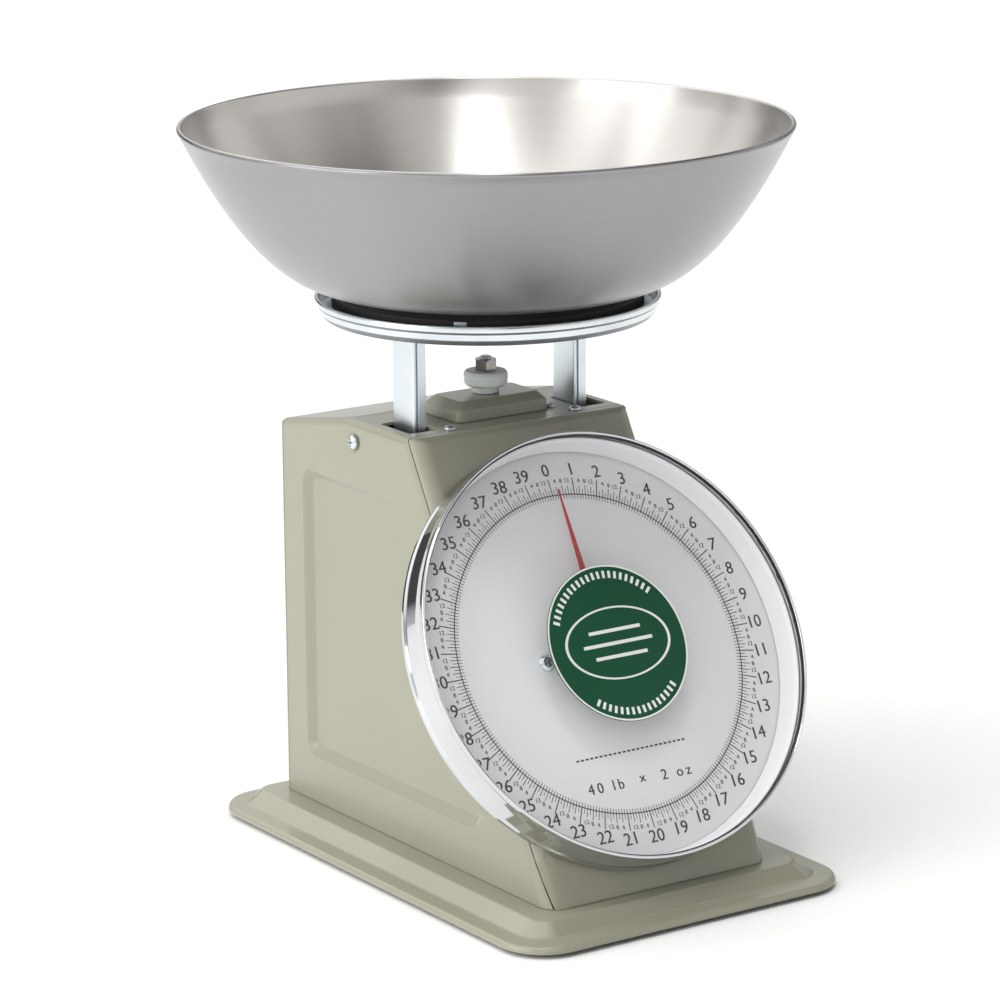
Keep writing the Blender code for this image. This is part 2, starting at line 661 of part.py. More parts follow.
def carry(*pieces):
    """Parent pieces that were modelled in place to the load frame's axis."""
    for piece in pieces:
        piece.parent = LOAD_AXIS
        piece.matrix_parent_inverse = Matrix.Translation(-LOAD_AXIS.location)


def post_outline(side):
    """A post's channel section in X and Y: web outside, two flanges turned inwards."""
    outer = POST_OUTER_X
    web = outer - POST_SHEET
    tip = outer - POST_FLANGE
    y0 = POST_Y - POST_DEPTH / 2
    y1 = POST_Y + POST_DEPTH / 2
    bend = 0.0012
    points = [(tip, y0), (outer - bend, y0), (outer, y0 + bend), (outer, y1 - bend),
              (outer - bend, y1), (tip, y1), (tip, y1 - POST_SHEET), (web, y1 - POST_SHEET),
              (web, y0 + POST_SHEET), (tip, y0 + POST_SHEET)]
    if side > 0:
        return points
    return [(-x, y) for x, y in reversed(points)]


def make_load_frame():
    """Posts, bridge, clevis, arm and compensator below; cross bracket, platform and seat above."""
    bolt_z = BRIDGE_BOLT_Z
    for name, side in (("left", -1), ("right", 1)):
        post = extrusion(f"post_{name}", post_outline(side), POST_BOTTOM_Z, CROSS_Z[0] - GAP, ZINC)
        cut(post, drill(f"post_bolt_hole_{name}", side * POST_OUTER_X, POST_Y, bolt_z, 0.0022,
                        0.008, ALONG_X, steps=12))
        carry(post)
    reach = POST_OUTER_X - POST_SHEET - GAP
    inner_y = POST_DEPTH / 2 - POST_SHEET - GAP
    low = (-reach, POST_Y - inner_y, BRIDGE_Z[0])
    high = (reach, POST_Y + inner_y, BRIDGE_Z[1])
    bridge = box("load_bridge", low, high, ZINC)
    for name, side in (("left", -1), ("right", 1)):
        cut(bridge, drill(f"bridge_bolt_hole_{name}", side * reach, POST_Y, bolt_z, 0.0024, 0.02,
                          ALONG_X, steps=12))
    carry(bridge)
    make_clevis(POST_Y + inner_y + GAP)
    make_arm(POST_Y - inner_y - GAP)
    make_platform()


def make_clevis(front_y):
    """The clevis behind the bridge, and the pin that the check lever's slot rides on."""
    cheek = 0.0015
    inside = 0.0022
    outside = inside + cheek
    depth = 0.0150
    outline = [(-outside, 0), (outside, 0), (outside, depth), (inside, depth), (inside, cheek),
               (-inside, cheek), (-inside, depth), (-outside, depth)]
    shifted = [(LEVER_X + x, front_y + y) for x, y in outline]
    clevis = extrusion("lever_clevis", shifted, LEVER_Z - 0.005, LEVER_Z + 0.005, ZINC)
    cut(clevis, drill("clevis_hole", LEVER_X, CLEVIS_Y, LEVER_Z, PIN_RADIUS + 0.0001, 0.02,
                      ALONG_X, steps=12))
    pin = disc("clevis_pin", PIN_RADIUS, -outside - 0.0008, outside + 0.0008, SPRING_STEEL,
               location=(LEVER_X, CLEVIS_Y, LEVER_Z), rotation=ALONG_X, steps=12)
    carry(clevis, pin)


def crosshead_place():
    """Where the crosshead pin stands at rest, in Y and Z."""
    along = CROSSHEAD_ALONG
    up = (math.sin(DIAL_TILT), math.cos(DIAL_TILT))
    out = (-math.cos(DIAL_TILT), math.sin(DIAL_TILT))
    return (DIAL_Y + along * up[0] + RACK_H * out[0], DIAL_Z + along * up[1] + RACK_H * out[1])


def make_arm(back_y):
    """The arm from the bridge to the front, and the slotted compensator strip on its end."""
    pin_y, pin_z = crosshead_place()
    low = BRIDGE_BOLT_Z - 0.005
    high = BRIDGE_BOLT_Z + 0.005
    tip = pin_y + 0.024
    arm = plate("rack_arm", [rectangle(tip, back_y, low, high)], ARM_SHEET, ZINC, (ARM_X, 0, 0),
                YZ_PLANE)
    sweep = RACK_TRAVEL * math.sin(DIAL_TILT)
    half = PIN_RADIUS + 0.0004
    front = pin_y - sweep - half - 0.0006
    back = pin_y + half + 0.0006
    wall = 0.003
    overlap = (tip + 0.004, tip + 0.012)
    strip = [(front - wall, pin_z - half - wall), (back + wall, pin_z - half - wall),
             (overlap[0], low + 0.001), (overlap[1], low + 0.001), (overlap[1], high - 0.001),
             (overlap[0], high - 0.001), (back + wall, pin_z + half + wall),
             (front - wall, pin_z + half + wall)]
    slot = rectangle(front, back, pin_z - half, pin_z + half)
    strip_x = ARM_X + (ARM_SHEET + STRIP_SHEET) / 2 + GAP
    strip_plate = plate("compensator_strip", [strip, slot], STRIP_SHEET, BRASS, (strip_x, 0, 0),
                        YZ_PLANE)
    carry(arm, strip_plate)


def make_platform():
    """Cross bracket, dished platform and black seat ring."""
    middle = POST_Y - AXIS_Y
    reach = CROSS_HALF_X
    solid_end = 0.016
    bracket = box("cross_bracket", (-reach, middle - CROSS_HALF_Y, CROSS_Z[0]),
                  (reach, middle + CROSS_HALF_Y, CROSS_Z[1]), ZINC, parent=LOAD_AXIS)
    hollow_y = CROSS_HALF_Y - POST_SHEET
    cut(bracket, slab("bracket_hollow", (solid_end - reach, middle - hollow_y, CROSS_Z[0] - 0.01),
                      (reach - solid_end, middle + hollow_y, CROSS_Z[1] - POST_SHEET),
                      parent=LOAD_AXIS))
    sheet = PLATFORM_SHEET
    floor = PLATFORM_LOW_Z + sheet
    outer = PLATFORM_RADIUS
    dish = [(outer - 0.0016, PLATFORM_HIGH_Z), (outer - 0.0004, PLATFORM_HIGH_Z - 0.0005),
            (outer, PLATFORM_HIGH_Z - 0.0016), (outer, PLATFORM_LOW_Z + 0.0015),
            (outer - 0.0015, PLATFORM_LOW_Z), (outer - 0.0035, PLATFORM_LOW_Z),
            (outer - 0.0055, floor), (0, floor)]
    inner = [(0, floor + sheet), (outer - 0.0050, floor + sheet),
             (outer - 0.0030, PLATFORM_LOW_Z + sheet), (outer - 0.0024, PLATFORM_LOW_Z + 0.0018),
             (outer - 0.0024, PLATFORM_HIGH_Z - 0.0008)]
    turned("platform", inner + dish, ZINC, parent=LOAD_AXIS, steps=48)
    ring_low = floor + sheet + GAP
    ring_high = BOWL_BASE_Z - GAP
    hole, ring_radius = SEAT_RING_RADII
    disc("seat_ring", ring_radius, ring_low, ring_high, BLACK_RUBBER, hole=hole,
         parent=LOAD_AXIS, steps=32)


def make_load_bolts():
    """Bolts through the posts' webs into the bridge."""
    for name, side in (("left", -1), ("right", 1)):
        place = (side * (POST_OUTER_X + GAP), POST_Y, BRIDGE_BOLT_Z)
        bolt = pan_head_screw(f"bridge_bolt_{name}", place, (0, side * math.pi / 2, 0),
                              radius=0.0038, shank=0.0018, length=0.008)
        carry(bolt)


def make_springs():
    """Two extension springs from the hanger down to the bridge."""
    low = BRIDGE_Z[1] + GAP
    high = HANGER_Z[0] - GAP
    hook = 0.010
    straight = 0.006
    per_turn = 8
    count = SPRING_TURNS * per_turn
    for name, x in (("left", -SPRING_X), ("right", SPRING_X)):
        points = [(0, 0, low), (0, 0, low + straight)]
        for step in range(count + 1):
            angle = 2 * math.pi * step / per_turn
            height = low + hook + (high - low - 2 * hook) * step / count
            points.append((SPRING_RADIUS * math.cos(angle), SPRING_RADIUS * math.sin(angle),
                           height))
        points += [(0, 0, high - straight), (0, 0, high)]
        carry(wire(f"spring_{name}", points, SPRING_WIRE / 2, SPRING_STEEL, (x, STUD_Y, 0)))


# ---------------------------------------------------------------- zero adjuster
def make_adjuster():
    """Cover on the top, wheel on the cover, and the stud with its nut and hanger bar."""
    cover_rings = []
    top = TOP_Z + COVER_HEIGHT
    for inset, radius, z in ((0.002, 0.005, top), (0.001, 0.006, top - 0.0012),
                             (0.0, 0.006, TOP_Z + GAP)):
        half_x = COVER_HALF_X - inset
        half_y = COVER_HALF_Y - inset
        ring = rectangle(-half_x, half_x, -half_y, half_y, radius, 3)
        cover_rings.append([(x, y + STUD_Y, z) for x, y in ring])
    cover = loft("adjuster_cover", cover_rings, ENAMEL)
    wall = 0.003
    cut(cover, slab("cover_hollow", (wall - COVER_HALF_X, STUD_Y + wall - COVER_HALF_Y,
                                     TOP_Z - 0.002),
                    (COVER_HALF_X - wall, STUD_Y + COVER_HALF_Y - wall, top - 0.0016)))
    cut(cover, drill("cover_stud_hole", 0, STUD_Y, TOP_Z + COVER_HEIGHT, STUD_RADIUS + 0.0005,
                     0.01))
    bore = STUD_RADIUS + 0.0002
    low, high = WHEEL_Z
    boss = TOP_Z + COVER_HEIGHT + GAP
    wheel = [(WHEEL_RADIUS - 0.0008, high), (WHEEL_RADIUS, high - 0.0008),
             (WHEEL_RADIUS, low + 0.0008), (WHEEL_RADIUS - 0.0008, low), (0.0065, low),
             (0.0065, boss), (bore, boss), (bore, high)]
    turned("zero_wheel", wheel, NYLON, (0, STUD_Y, 0), steps=24, closed=True)
    nut_low = high + GAP
    stud_top = nut_low + 0.0070
    stud_low = HANGER_Z[0]
    disc("zero_stud", STUD_RADIUS, stud_low, stud_top, ZINC, location=(0, STUD_Y, 0), steps=16)
    nut_radius = 0.0050 / math.cos(math.radians(30))
    nut_height = 0.0055
    plate("lock_nut", [circle(0, 0, nut_radius, 6), circle(0, 0, STUD_RADIUS + 0.0001)],
          nut_height, SPRING_STEEL, (0, STUD_Y, nut_low + nut_height / 2))
    half_depth = 0.006
    bar = box("spring_hanger", (-HANGER_HALF_X, STUD_Y - half_depth, HANGER_Z[0]),
              (HANGER_HALF_X, STUD_Y + half_depth, HANGER_Z[1]), ZINC)
    cut(bar, drill("hanger_hole", 0, STUD_Y, sum(HANGER_Z) / 2, STUD_RADIUS + 0.0001, 0.02))


# ---------------------------------------------------------------- chassis and check lever
def make_chassis():
    """An inverted U under the top that stiffens the housing round the springs."""
    half_x = CHASSIS_HALF_X
    sheet = 0.0015
    y0 = AXIS_Y - CHASSIS_HALF_Y
    y1 = AXIS_Y + CHASSIS_HALF_Y
    low = CHASSIS_BOTTOM_Z
    top = TOP_Z - HOUSING_SHEET - GAP
    chassis = box("chassis", (-half_x, y0, low), (half_x, y1, top), ZINC)
    cut(chassis, slab("chassis_hollow", (-half_x + sheet, y0 - 0.01, low - 0.01),
                      (half_x - sheet, y1 + 0.01, top - sheet)))
    cut(chassis, drill("chassis_stud_hole", 0, STUD_Y, top, STUD_RADIUS + 0.0008, 0.02))
    for number, (x, y) in enumerate(TOP_SCREWS):
        cut(chassis, slab(f"chassis_screw_slot_{number}", (x - 0.0022, y - 0.0022, top - 0.006),
                          (x + 0.0022, y + 0.0022, top + 0.01)))


def make_lever():
    """The check lever, its pivot pin, and the stand on the base that carries it."""
    width = 0.0035
    half = PIN_RADIUS + 0.0004
    tip = -LEVER_LENGTH
    back = LEVER_PIVOT_Y
    sheet = 0.0020
    slide = 0.0021  # how far the pin runs out along the lever at full load
    slot = rectangle(tip - slide - half, tip + half, -half, half)
    outline = rectangle(tip - slide - half - 0.0018, 0.0045, -width, width, 0.0015, 2)
    pivot = circle(0, 0, PIN_RADIUS + 0.00015, 12)
    plate("check_lever", [outline, slot, pivot], sheet, ZINC, (LEVER_X, back, LEVER_Z), YZ_PLANE)
    disc("lever_pin", PIN_RADIUS, -0.0034, 0.0052, SPRING_STEEL, location=(LEVER_X, back, LEVER_Z),
         rotation=ALONG_X, steps=12)
    stand_x = LEVER_X + sheet / 2 + 0.0010
    foot = SEAM_Z + GAP
    stand = box("lever_stand", (stand_x, back - 0.008, foot), (stand_x + 0.0150, back + 0.008,
                LEVER_Z + 0.006), ZINC)
    cut(stand, slab("stand_hollow", (stand_x + 0.0018, back - 0.02, foot + 0.0018),
                    (stand_x + 0.03, back + 0.02, LEVER_Z + 0.02)))
    cut(stand, drill("stand_hole", stand_x, back, LEVER_Z, PIN_RADIUS + 0.0001, 0.02, ALONG_X,
                     steps=12))


# ---------------------------------------------------------------- bowl
def bowl_outside(steps=10):
    """The bowl's outer side from rim to base, a cubic curve: (radius, z)."""
    rim = Vector((BOWL_RADIUS - 0.0006, BOWL_RIM_Z))
    base = Vector((BOWL_BASE_RADIUS, BOWL_BASE_Z))
    from_rim = rim - Vector((0.0321, 0.0648))
    from_base = base + Vector((0.0192, 0))
    points = []
    for step in range(steps + 1):
        t = step / steps
        s = 1 - t
        point = s ** 3 * rim + 3 * s * s * t * from_rim + 3 * s * t * t * from_base + t ** 3 * base
        points.append((point.x, point.y))
    return points


def make_bowl():
    """A spun bowl with a rolled bead round its rim."""
    outside = bowl_outside()
    inside = []
    for (r0, z0), (r1, z1) in zip(outside, outside[1:]):
        along = Vector((r1 - r0, z1 - z0)).normalized()
        inside.append((r0 + along.y * BOWL_SHEET, z0 - along.x * BOWL_SHEET))
    bead_r = BOWL_RADIUS - RIM_BEAD
    bead_z = BOWL_RIM_Z + RIM_BEAD * 0.6
    bead = []
    for degrees in (150, 90, 45, 0, -45):
        angle = math.radians(degrees)
        bead.append((bead_r + RIM_BEAD * math.cos(angle), bead_z + RIM_BEAD * math.sin(angle)))
    floor = BOWL_BASE_Z + BOWL_SHEET
    profile = [(0, floor), (BOWL_BASE_RADIUS, floor)]
    profile += list(reversed(inside[1:-1]))
    profile += bead
    profile += outside[1:]
    profile += [(0, BOWL_BASE_Z)]
    bowl_axis = empty("bowl_axis", (0, AXIS_Y, 0))
    turned("bowl", profile, STAINLESS, parent=bowl_axis, steps=48)


make_base()
make_housing()
make_housing_fasteners()
make_dial()
make_movement()
make_pointer()
make_rack()
make_load_frame()
make_load_bolts()
make_springs()
make_adjuster()
make_chassis()
make_lever()
make_bowl()
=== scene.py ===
"""Looks of the dial kitchen scale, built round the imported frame."""
import json
import math

import bmesh
import bpy
from mathutils import Matrix, Vector


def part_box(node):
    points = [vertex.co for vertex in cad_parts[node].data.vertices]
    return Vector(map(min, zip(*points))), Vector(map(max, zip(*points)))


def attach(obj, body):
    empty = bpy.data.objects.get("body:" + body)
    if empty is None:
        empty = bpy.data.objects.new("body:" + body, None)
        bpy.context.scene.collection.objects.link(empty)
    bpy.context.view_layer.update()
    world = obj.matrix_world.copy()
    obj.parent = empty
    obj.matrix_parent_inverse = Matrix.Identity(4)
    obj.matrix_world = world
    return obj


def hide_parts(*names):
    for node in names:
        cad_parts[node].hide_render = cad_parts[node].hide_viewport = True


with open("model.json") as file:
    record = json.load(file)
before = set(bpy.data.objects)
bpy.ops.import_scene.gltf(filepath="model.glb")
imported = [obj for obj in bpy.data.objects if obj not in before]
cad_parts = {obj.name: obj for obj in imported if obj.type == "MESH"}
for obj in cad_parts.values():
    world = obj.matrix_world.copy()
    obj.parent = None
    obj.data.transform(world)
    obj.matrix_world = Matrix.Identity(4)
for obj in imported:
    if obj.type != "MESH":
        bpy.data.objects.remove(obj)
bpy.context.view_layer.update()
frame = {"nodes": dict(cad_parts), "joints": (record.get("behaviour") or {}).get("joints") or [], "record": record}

MM = 0.001
GAP = 0.0003
RIGHT = Vector((1, 0, 0))
BACK = Vector((0, 1, 0))
UP = Vector((0, 0, 1))

# ---- places read from the frame, in metres
JOINTS = {joint["name"]: joint for joint in frame["joints"]}
SEAM_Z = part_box("base_plate")[1].z
AXIS_Y = sum(corner.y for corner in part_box("bowl")) / 2
MAIN_AXIS = Matrix.Translation((0, AXIS_Y, 0))
TOP_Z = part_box("housing_shell")[1].z
HALF_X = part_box("housing_shell")[1].x
BACK_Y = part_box("rear_cover")[1].y
DIAL_CENTRE = Vector(JOINTS["pointer_turn"]["pos_m"])
DIAL_NORMAL = -Vector(JOINTS["pointer_turn"]["axis"]).normalized()
DIAL_UP = DIAL_NORMAL.cross(RIGHT)
DIAL = Matrix.Translation(DIAL_CENTRE) @ Matrix((
    (1, 0, 0), (0, DIAL_UP.y, DIAL_NORMAL.y), (0, DIAL_UP.z, DIAL_NORMAL.z))).to_4x4()


def along_axis(node):
    """Lowest and highest place of a node along the dial's axis, from the plate's face."""
    heights = [(v.co - DIAL_CENTRE).dot(DIAL_NORMAL) for v in frame["nodes"][node].data.vertices]
    return min(heights), max(heights)


# ---- material helpers
NOISE_MIDDLE = (0.3, 0.7)


def add(tree, kind, values=(), **settings):
    """A shader node with its settings and its sockets' plain values."""
    item = tree.nodes.new(kind)
    for key, value in settings.items():
        setattr(item, key, value)
    for key, value in dict(values).items():
        item.inputs[key].default_value = value
    return item


def noise(tree, vector, scale, detail=4.0, roughness=0.55):
    """A noise texture's factor over a vector."""
    texture = add(tree, "ShaderNodeTexNoise",
                  {"Scale": scale, "Detail": detail, "Roughness": roughness})
    tree.links.new(vector, texture.inputs["Vector"])
    return texture.outputs["Fac"]


def ramp(tree, factor, *stops):
    """A colour ramp over a factor; each stop is a position and a colour."""
    item = add(tree, "ShaderNodeValToRGB")
    elements = item.color_ramp.elements
    for element, (position, colour) in zip((elements[0], elements[1]), (stops[0], stops[-1])):
        element.position = position
        element.color = (*colour, 1.0)
    for position, colour in stops[1:-1]:
        elements.new(position).color = (*colour, 1.0)
    tree.links.new(factor, item.inputs["Fac"])
    return item.outputs["Color"]


def remap(tree, value, source, target, **settings):
    """A value carried from one range to another."""
    item = add(tree, "ShaderNodeMapRange", {"From Min": source[0], "From Max": source[1],
                                            "To Min": target[0], "To Max": target[1]}, **settings)
    tree.links.new(value, item.inputs["Value"])
    return item.outputs["Result"]


def calculate(tree, operation, first, second):
    """A math node over two inputs; the second may be a plain number."""
    item = add(tree, "ShaderNodeMath", operation=operation)
    tree.links.new(first, item.inputs[0])
    if isinstance(second, float):
        item.inputs[1].default_value = second
    else:
        tree.links.new(second, item.inputs[1])
    return item.outputs["Value"]


def add_bump(tree, shader, height, distance, strength=1.0):
    """Bump on top of what the shader already has."""
    item = add(tree, "ShaderNodeBump", {"Distance": distance, "Strength": strength})
    tree.links.new(height, item.inputs["Height"])
    normal = shader.inputs["Normal"]
    if normal.is_linked:
        tree.links.new(normal.links[0].from_socket, item.inputs["Normal"])
    tree.links.new(item.outputs["Normal"], normal)


def round_coordinates(tree, centre_y):
    """Coordinates that vary only with the radius and the height about a vertical axis."""
    place = add(tree, "ShaderNodeTexCoord").outputs["Object"]
    shift = add(tree, "ShaderNodeVectorMath", {1: (0.0, centre_y, 0.0)}, operation="SUBTRACT")
    tree.links.new(place, shift.inputs[0])
    parts = add(tree, "ShaderNodeSeparateXYZ")
    tree.links.new(shift.outputs["Vector"], parts.inputs["Vector"])
    flat = add(tree, "ShaderNodeCombineXYZ")
    for axis in "XY":
        tree.links.new(parts.outputs[axis], flat.inputs[axis])
    radius = add(tree, "ShaderNodeVectorMath", operation="LENGTH")
    tree.links.new(flat.outputs["Vector"], radius.inputs[0])
    joined = add(tree, "ShaderNodeCombineXYZ")
    tree.links.new(radius.outputs["Value"], joined.inputs["X"])
    tree.links.new(parts.outputs["Z"], joined.inputs["Z"])
    return joined.outputs["Vector"]


def surface(name, dark, light, rough, metallic=0.0, tone=18.0, grain=700.0, depth=0.00002,
            spun=None, stretch=None, speckle=0.965, sockets=()):
    """A Principled material; tone and grain scale its slow and fine noise, in rings if spun."""
    material = bpy.data.materials.new(name)
    material.use_nodes = True
    tree = material.node_tree
    shader = tree.nodes["Principled BSDF"]
    shader.inputs["Metallic"].default_value = metallic
    for key, value in dict(sockets).items():
        shader.inputs[key].default_value = value
    place = add(tree, "ShaderNodeTexCoord").outputs["Object"]
    fine = place
    if stretch:
        mapping = add(tree, "ShaderNodeMapping", {"Scale": stretch})
        tree.links.new(place, mapping.inputs["Vector"])
        fine = mapping.outputs["Vector"]
    if spun is not None:
        fine = round_coordinates(tree, spun)
    cloud = noise(tree, place, tone, 3.0)
    grains = noise(tree, fine, grain, 5.0, 0.6)
    colour = ramp(tree, cloud, *zip(NOISE_MIDDLE, (dark, light)))
    flecks = ramp(tree, grains, *zip(NOISE_MIDDLE, ((speckle,) * 3, (1.0,) * 3)))
    product = add(tree, "ShaderNodeMix", {0: 1.0}, data_type="RGBA", blend_type="MULTIPLY")
    tree.links.new(colour, product.inputs[6])
    tree.links.new(flecks, product.inputs[7])
    tree.links.new(product.outputs[2], shader.inputs["Base Color"])
    mean = calculate(tree, "MULTIPLY", calculate(tree, "ADD", grains, cloud), 0.5)
    tree.links.new(remap(tree, mean, NOISE_MIDDLE, rough), shader.inputs["Roughness"])
    add_bump(tree, shader, grains, depth)
    return material


def enamelled():
    """Smooth sage enamel with the faint waves of sprayed paint."""
    enamel = surface("enamel", (0.262, 0.256, 0.194), (0.280, 0.274, 0.210), (0.28, 0.34),
                     tone=9.0, grain=110.0, depth=0.0000004, speckle=0.99,
                     sockets={"Coat Weight": 0.4, "Coat Roughness": 0.15})
    tree = enamel.node_tree
    place = add(tree, "ShaderNodeTexCoord").outputs["Object"]
    add_bump(tree, tree.nodes["Principled BSDF"], noise(tree, place, 28.0, 2.0), 0.0006, 0.3)
    return enamel


def spun_steel(name, dark, light, rough):
    """Steel spun on a lathe: its highlights spread across the fine rings."""
    steel = surface(name, dark, light, rough, 1.0, tone=6.0, grain=900.0, depth=0.000003,
                    spun=AXIS_Y, sockets={"Anisotropic": 0.75, "Anisotropic Rotation": 0.25})
    tree = steel.node_tree
    tangent = add(tree, "ShaderNodeTangent", direction_type="RADIAL", axis="Z")
    tree.links.new(tangent.outputs["Tangent"], tree.nodes["Principled BSDF"].inputs["Tangent"])
    return steel


def make_materials():
    """One material for each of the record's slots, and more for inks and for painted light: a brighter copy of the
    steel for the bowl's inside and a darker copy of the zinc for the platform's underside.
    """
    made = {"enamel": enamelled()}
    # The bowl's steel is made twice: this darker copy paints shade on the outside and the brighter copy below
    # paints light on the inside; the real bowl is one steel throughout.
    made["stainless"] = spun_steel("stainless", (0.335, 0.332, 0.340), (0.360, 0.357, 0.365),
                                   (0.26, 0.34))
    made["stainless_painted_bright_inside"] = spun_steel("stainless_painted_bright_inside", (0.66, 0.637, 0.610),
                                          (0.70, 0.677, 0.650), (0.28, 0.36))
    made["chrome"] = surface("chrome", (0.64, 0.65, 0.67), (0.70, 0.71, 0.73), (0.03, 0.07), 1.0,
                             grain=350.0, depth=0.000002)
    made["zinc_plate"] = surface("zinc_plate", (0.68, 0.74, 0.78), (0.76, 0.80, 0.83),
                                 (0.28, 0.36), 1.0, tone=60.0, grain=500.0, depth=0.000002,
                                 stretch=(1.0, 1.0, 0.06))
    made["platform_zinc"] = surface("platform_zinc", (0.66, 0.71, 0.74), (0.78, 0.81, 0.83),
                                    (0.14, 0.26), 1.0, tone=40.0, grain=1100.0,
                                    depth=0.000003, spun=AXIS_Y)
    # A darker copy of the platform's zinc for its downward faces: painted shade under the lip.
    made["platform_painted_shade"] = surface("platform_painted_shade", (0.20, 0.215, 0.23), (0.28, 0.295, 0.31),
                                     (0.3, 0.42), 1.0, tone=40.0, grain=700.0)
    made["brass"] = surface("brass", (0.62, 0.44, 0.17), (0.72, 0.54, 0.24), (0.28, 0.4), 1.0,
                            grain=900.0)
    made["spring_steel"] = surface("spring_steel", (0.25, 0.235, 0.22), (0.36, 0.345, 0.33),
                                   (0.12, 0.26), 1.0, tone=120.0, grain=900.0)
    made["black_rubber"] = surface("black_rubber", (0.012, 0.012, 0.013), (0.024, 0.024, 0.025),
                                   (0.45, 0.65), grain=1400.0, depth=0.00004)
    made["white_paint"] = surface("white_paint", (0.82, 0.822, 0.845), (0.85, 0.852, 0.87),
                                  (0.35, 0.5), tone=7.0, grain=1300.0, depth=0.000006)
    made["red_paint"] = surface("red_paint", (0.40, 0.012, 0.014), (0.48, 0.020, 0.020),
                                (0.3, 0.45), grain=1200.0, depth=0.000008)
    made["green_label"] = surface("green_label", (0.003, 0.060, 0.026), (0.005, 0.070, 0.032),
                                  (0.45, 0.6), grain=1300.0, depth=0.000004,
                                  sockets={"Specular IOR Level": 0.25})
    made["white_nylon"] = surface("white_nylon", (0.66, 0.70, 0.68), (0.74, 0.77, 0.75),
                                  (0.35, 0.5), tone=50.0, grain=900.0,
                                  sockets={"Subsurface Weight": 0.2, "Subsurface Radius":
                                           (0.002, 0.002, 0.002)})
    made["clear_window"] = surface("clear_window", (0.50, 0.52, 0.52), (0.56, 0.58, 0.58),
                                   (0.01, 0.04), tone=8.0, grain=60.0, depth=0.000001,
                                   sockets={"Alpha": 0.045})
    made["black_ink"] = surface("black_ink", (0.012, 0.012, 0.018), (0.022, 0.022, 0.03),
                                (0.4, 0.55), grain=2500.0, depth=0.000003)
    made["white_ink"] = surface("white_ink", (0.72, 0.74, 0.72), (0.80, 0.81, 0.79),
                                (0.35, 0.5), grain=2500.0, depth=0.000003)
    return made


MATERIALS = make_materials()


# ---- mesh helpers
def new_object(name, data):
    """An object in the scene with some data."""
    obj = bpy.data.objects.new(name, data)
    bpy.context.scene.collection.objects.link(obj)
    return obj


def toward_z(direction):
    """The turn that carries Z to a direction."""
    return direction.to_track_quat("Z", "Y").to_matrix().to_4x4()


def mesh_piece(name, bm, material, matrix=None, sharp=35.0):
    """An object from a bmesh, smooth except at its sharp edges."""
    if matrix is not None:
        bm.transform(matrix)
    mesh = bpy.data.meshes.new(name)
    bm.to_mesh(mesh)
    bm.free()
    mesh.shade_smooth()
    mesh.set_sharp_from_angle(angle=math.radians(sharp))
    if material is not None:
        mesh.materials.append(MATERIALS[material])
    return new_object(name, mesh)


def place_piece(obj, body, stands_for=()):
    """The piece rides on a body and hides the CAD nodes it stands for."""
    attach(obj, body)
    if stands_for:
        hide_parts(*stands_for)
    return obj


def baked(obj, sharp=35.0):
    """The object with its modifiers applied to its mesh."""
    graph = bpy.context.evaluated_depsgraph_get()
    mesh = bpy.data.meshes.new_from_object(obj.evaluated_get(graph))
    obj.modifiers.clear()
    obj.data = mesh
    mesh.shade_smooth()
    mesh.set_sharp_from_angle(angle=math.radians(sharp))
    return obj


def carve(obj, cutter, operation="DIFFERENCE"):
    """Cut one object with another, which is then removed."""
    modifier = obj.modifiers.new("carve", "BOOLEAN")
    modifier.operation = operation
    modifier.solver = "EXACT"
    modifier.object = cutter
    baked(obj)
    bpy.data.objects.remove(cutter, do_unlink=True)
    return obj


def middle_of(node):
    """The centre of a node's box."""
    low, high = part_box(node)
    return (low + high) / 2


def fillet(points, segments=5):
    """A path whose corners are rounded: each point is (a, b) or (a, b, radius)."""
    out = []
    for k, point in enumerate(points):
        radius = point[2] if len(point) > 2 else 0.0
        here = Vector(point[:2])
        if not radius or k in (0, len(points) - 1):
            out.append((here.x, here.y))
            continue
        before = (Vector(points[k - 1][:2]) - here).normalized()
        after = (Vector(points[k + 1][:2]) - here).normalized()
        half = before.angle(after) / 2
        reach = radius / math.tan(half)
        middle = here + (before + after).normalized() * (radius / math.sin(half))
        start = here + before * reach - middle
        turn = start.angle_signed(here + after * reach - middle)
        for step in range(segments + 1):
            angle = -turn * step / segments
            spot = middle + Matrix.Rotation(angle, 2) @ start
            out.append((spot.x, spot.y))
    return out


def lathe(profile, steps=128, closed=False):
    """A bmesh turned about Z from (radius, height) points."""
    bm = bmesh.new()
    verts = [bm.verts.new((r, 0, z)) for r, z in profile]
    edges = [bm.edges.new(pair) for pair in zip(verts, verts[1:])]
    if closed:
        edges.append(bm.edges.new((verts[-1], verts[0])))
    bmesh.ops.spin(bm, geom=verts + edges, axis=(0, 0, 1), cent=(0, 0, 0),
                   angle=2 * math.pi, steps=steps, use_merge=True)
    bmesh.ops.remove_doubles(bm, verts=bm.verts, dist=1e-6)
    bmesh.ops.recalc_face_normals(bm, faces=bm.faces)
    return bm


def drill(obj, radius, low, high, matrix, steps=32):
    """A round hole along the matrix's Z, between two heights."""
    hole = lathe([(0, low), (radius, low), (radius, high), (0, high)], steps)
    return carve(obj, mesh_piece("drill", hole, None, matrix))


def rounded_rectangle(x0, x1, y0, y1, radius, steps=8):
    """Points round a rectangle with rounded corners, counter-clockwise."""
    points = []
    corners = ((x1 - radius, y0 + radius, -90), (x1 - radius, y1 - radius, 0),
               (x0 + radius, y1 - radius, 90), (x0 + radius, y0 + radius, 180))
    for x, y, start in corners:
        for step in range(steps + 1):
            angle = math.radians(start + 90 * step / steps)
            points.append((x + radius * math.cos(angle), y + radius * math.sin(angle)))
    return points


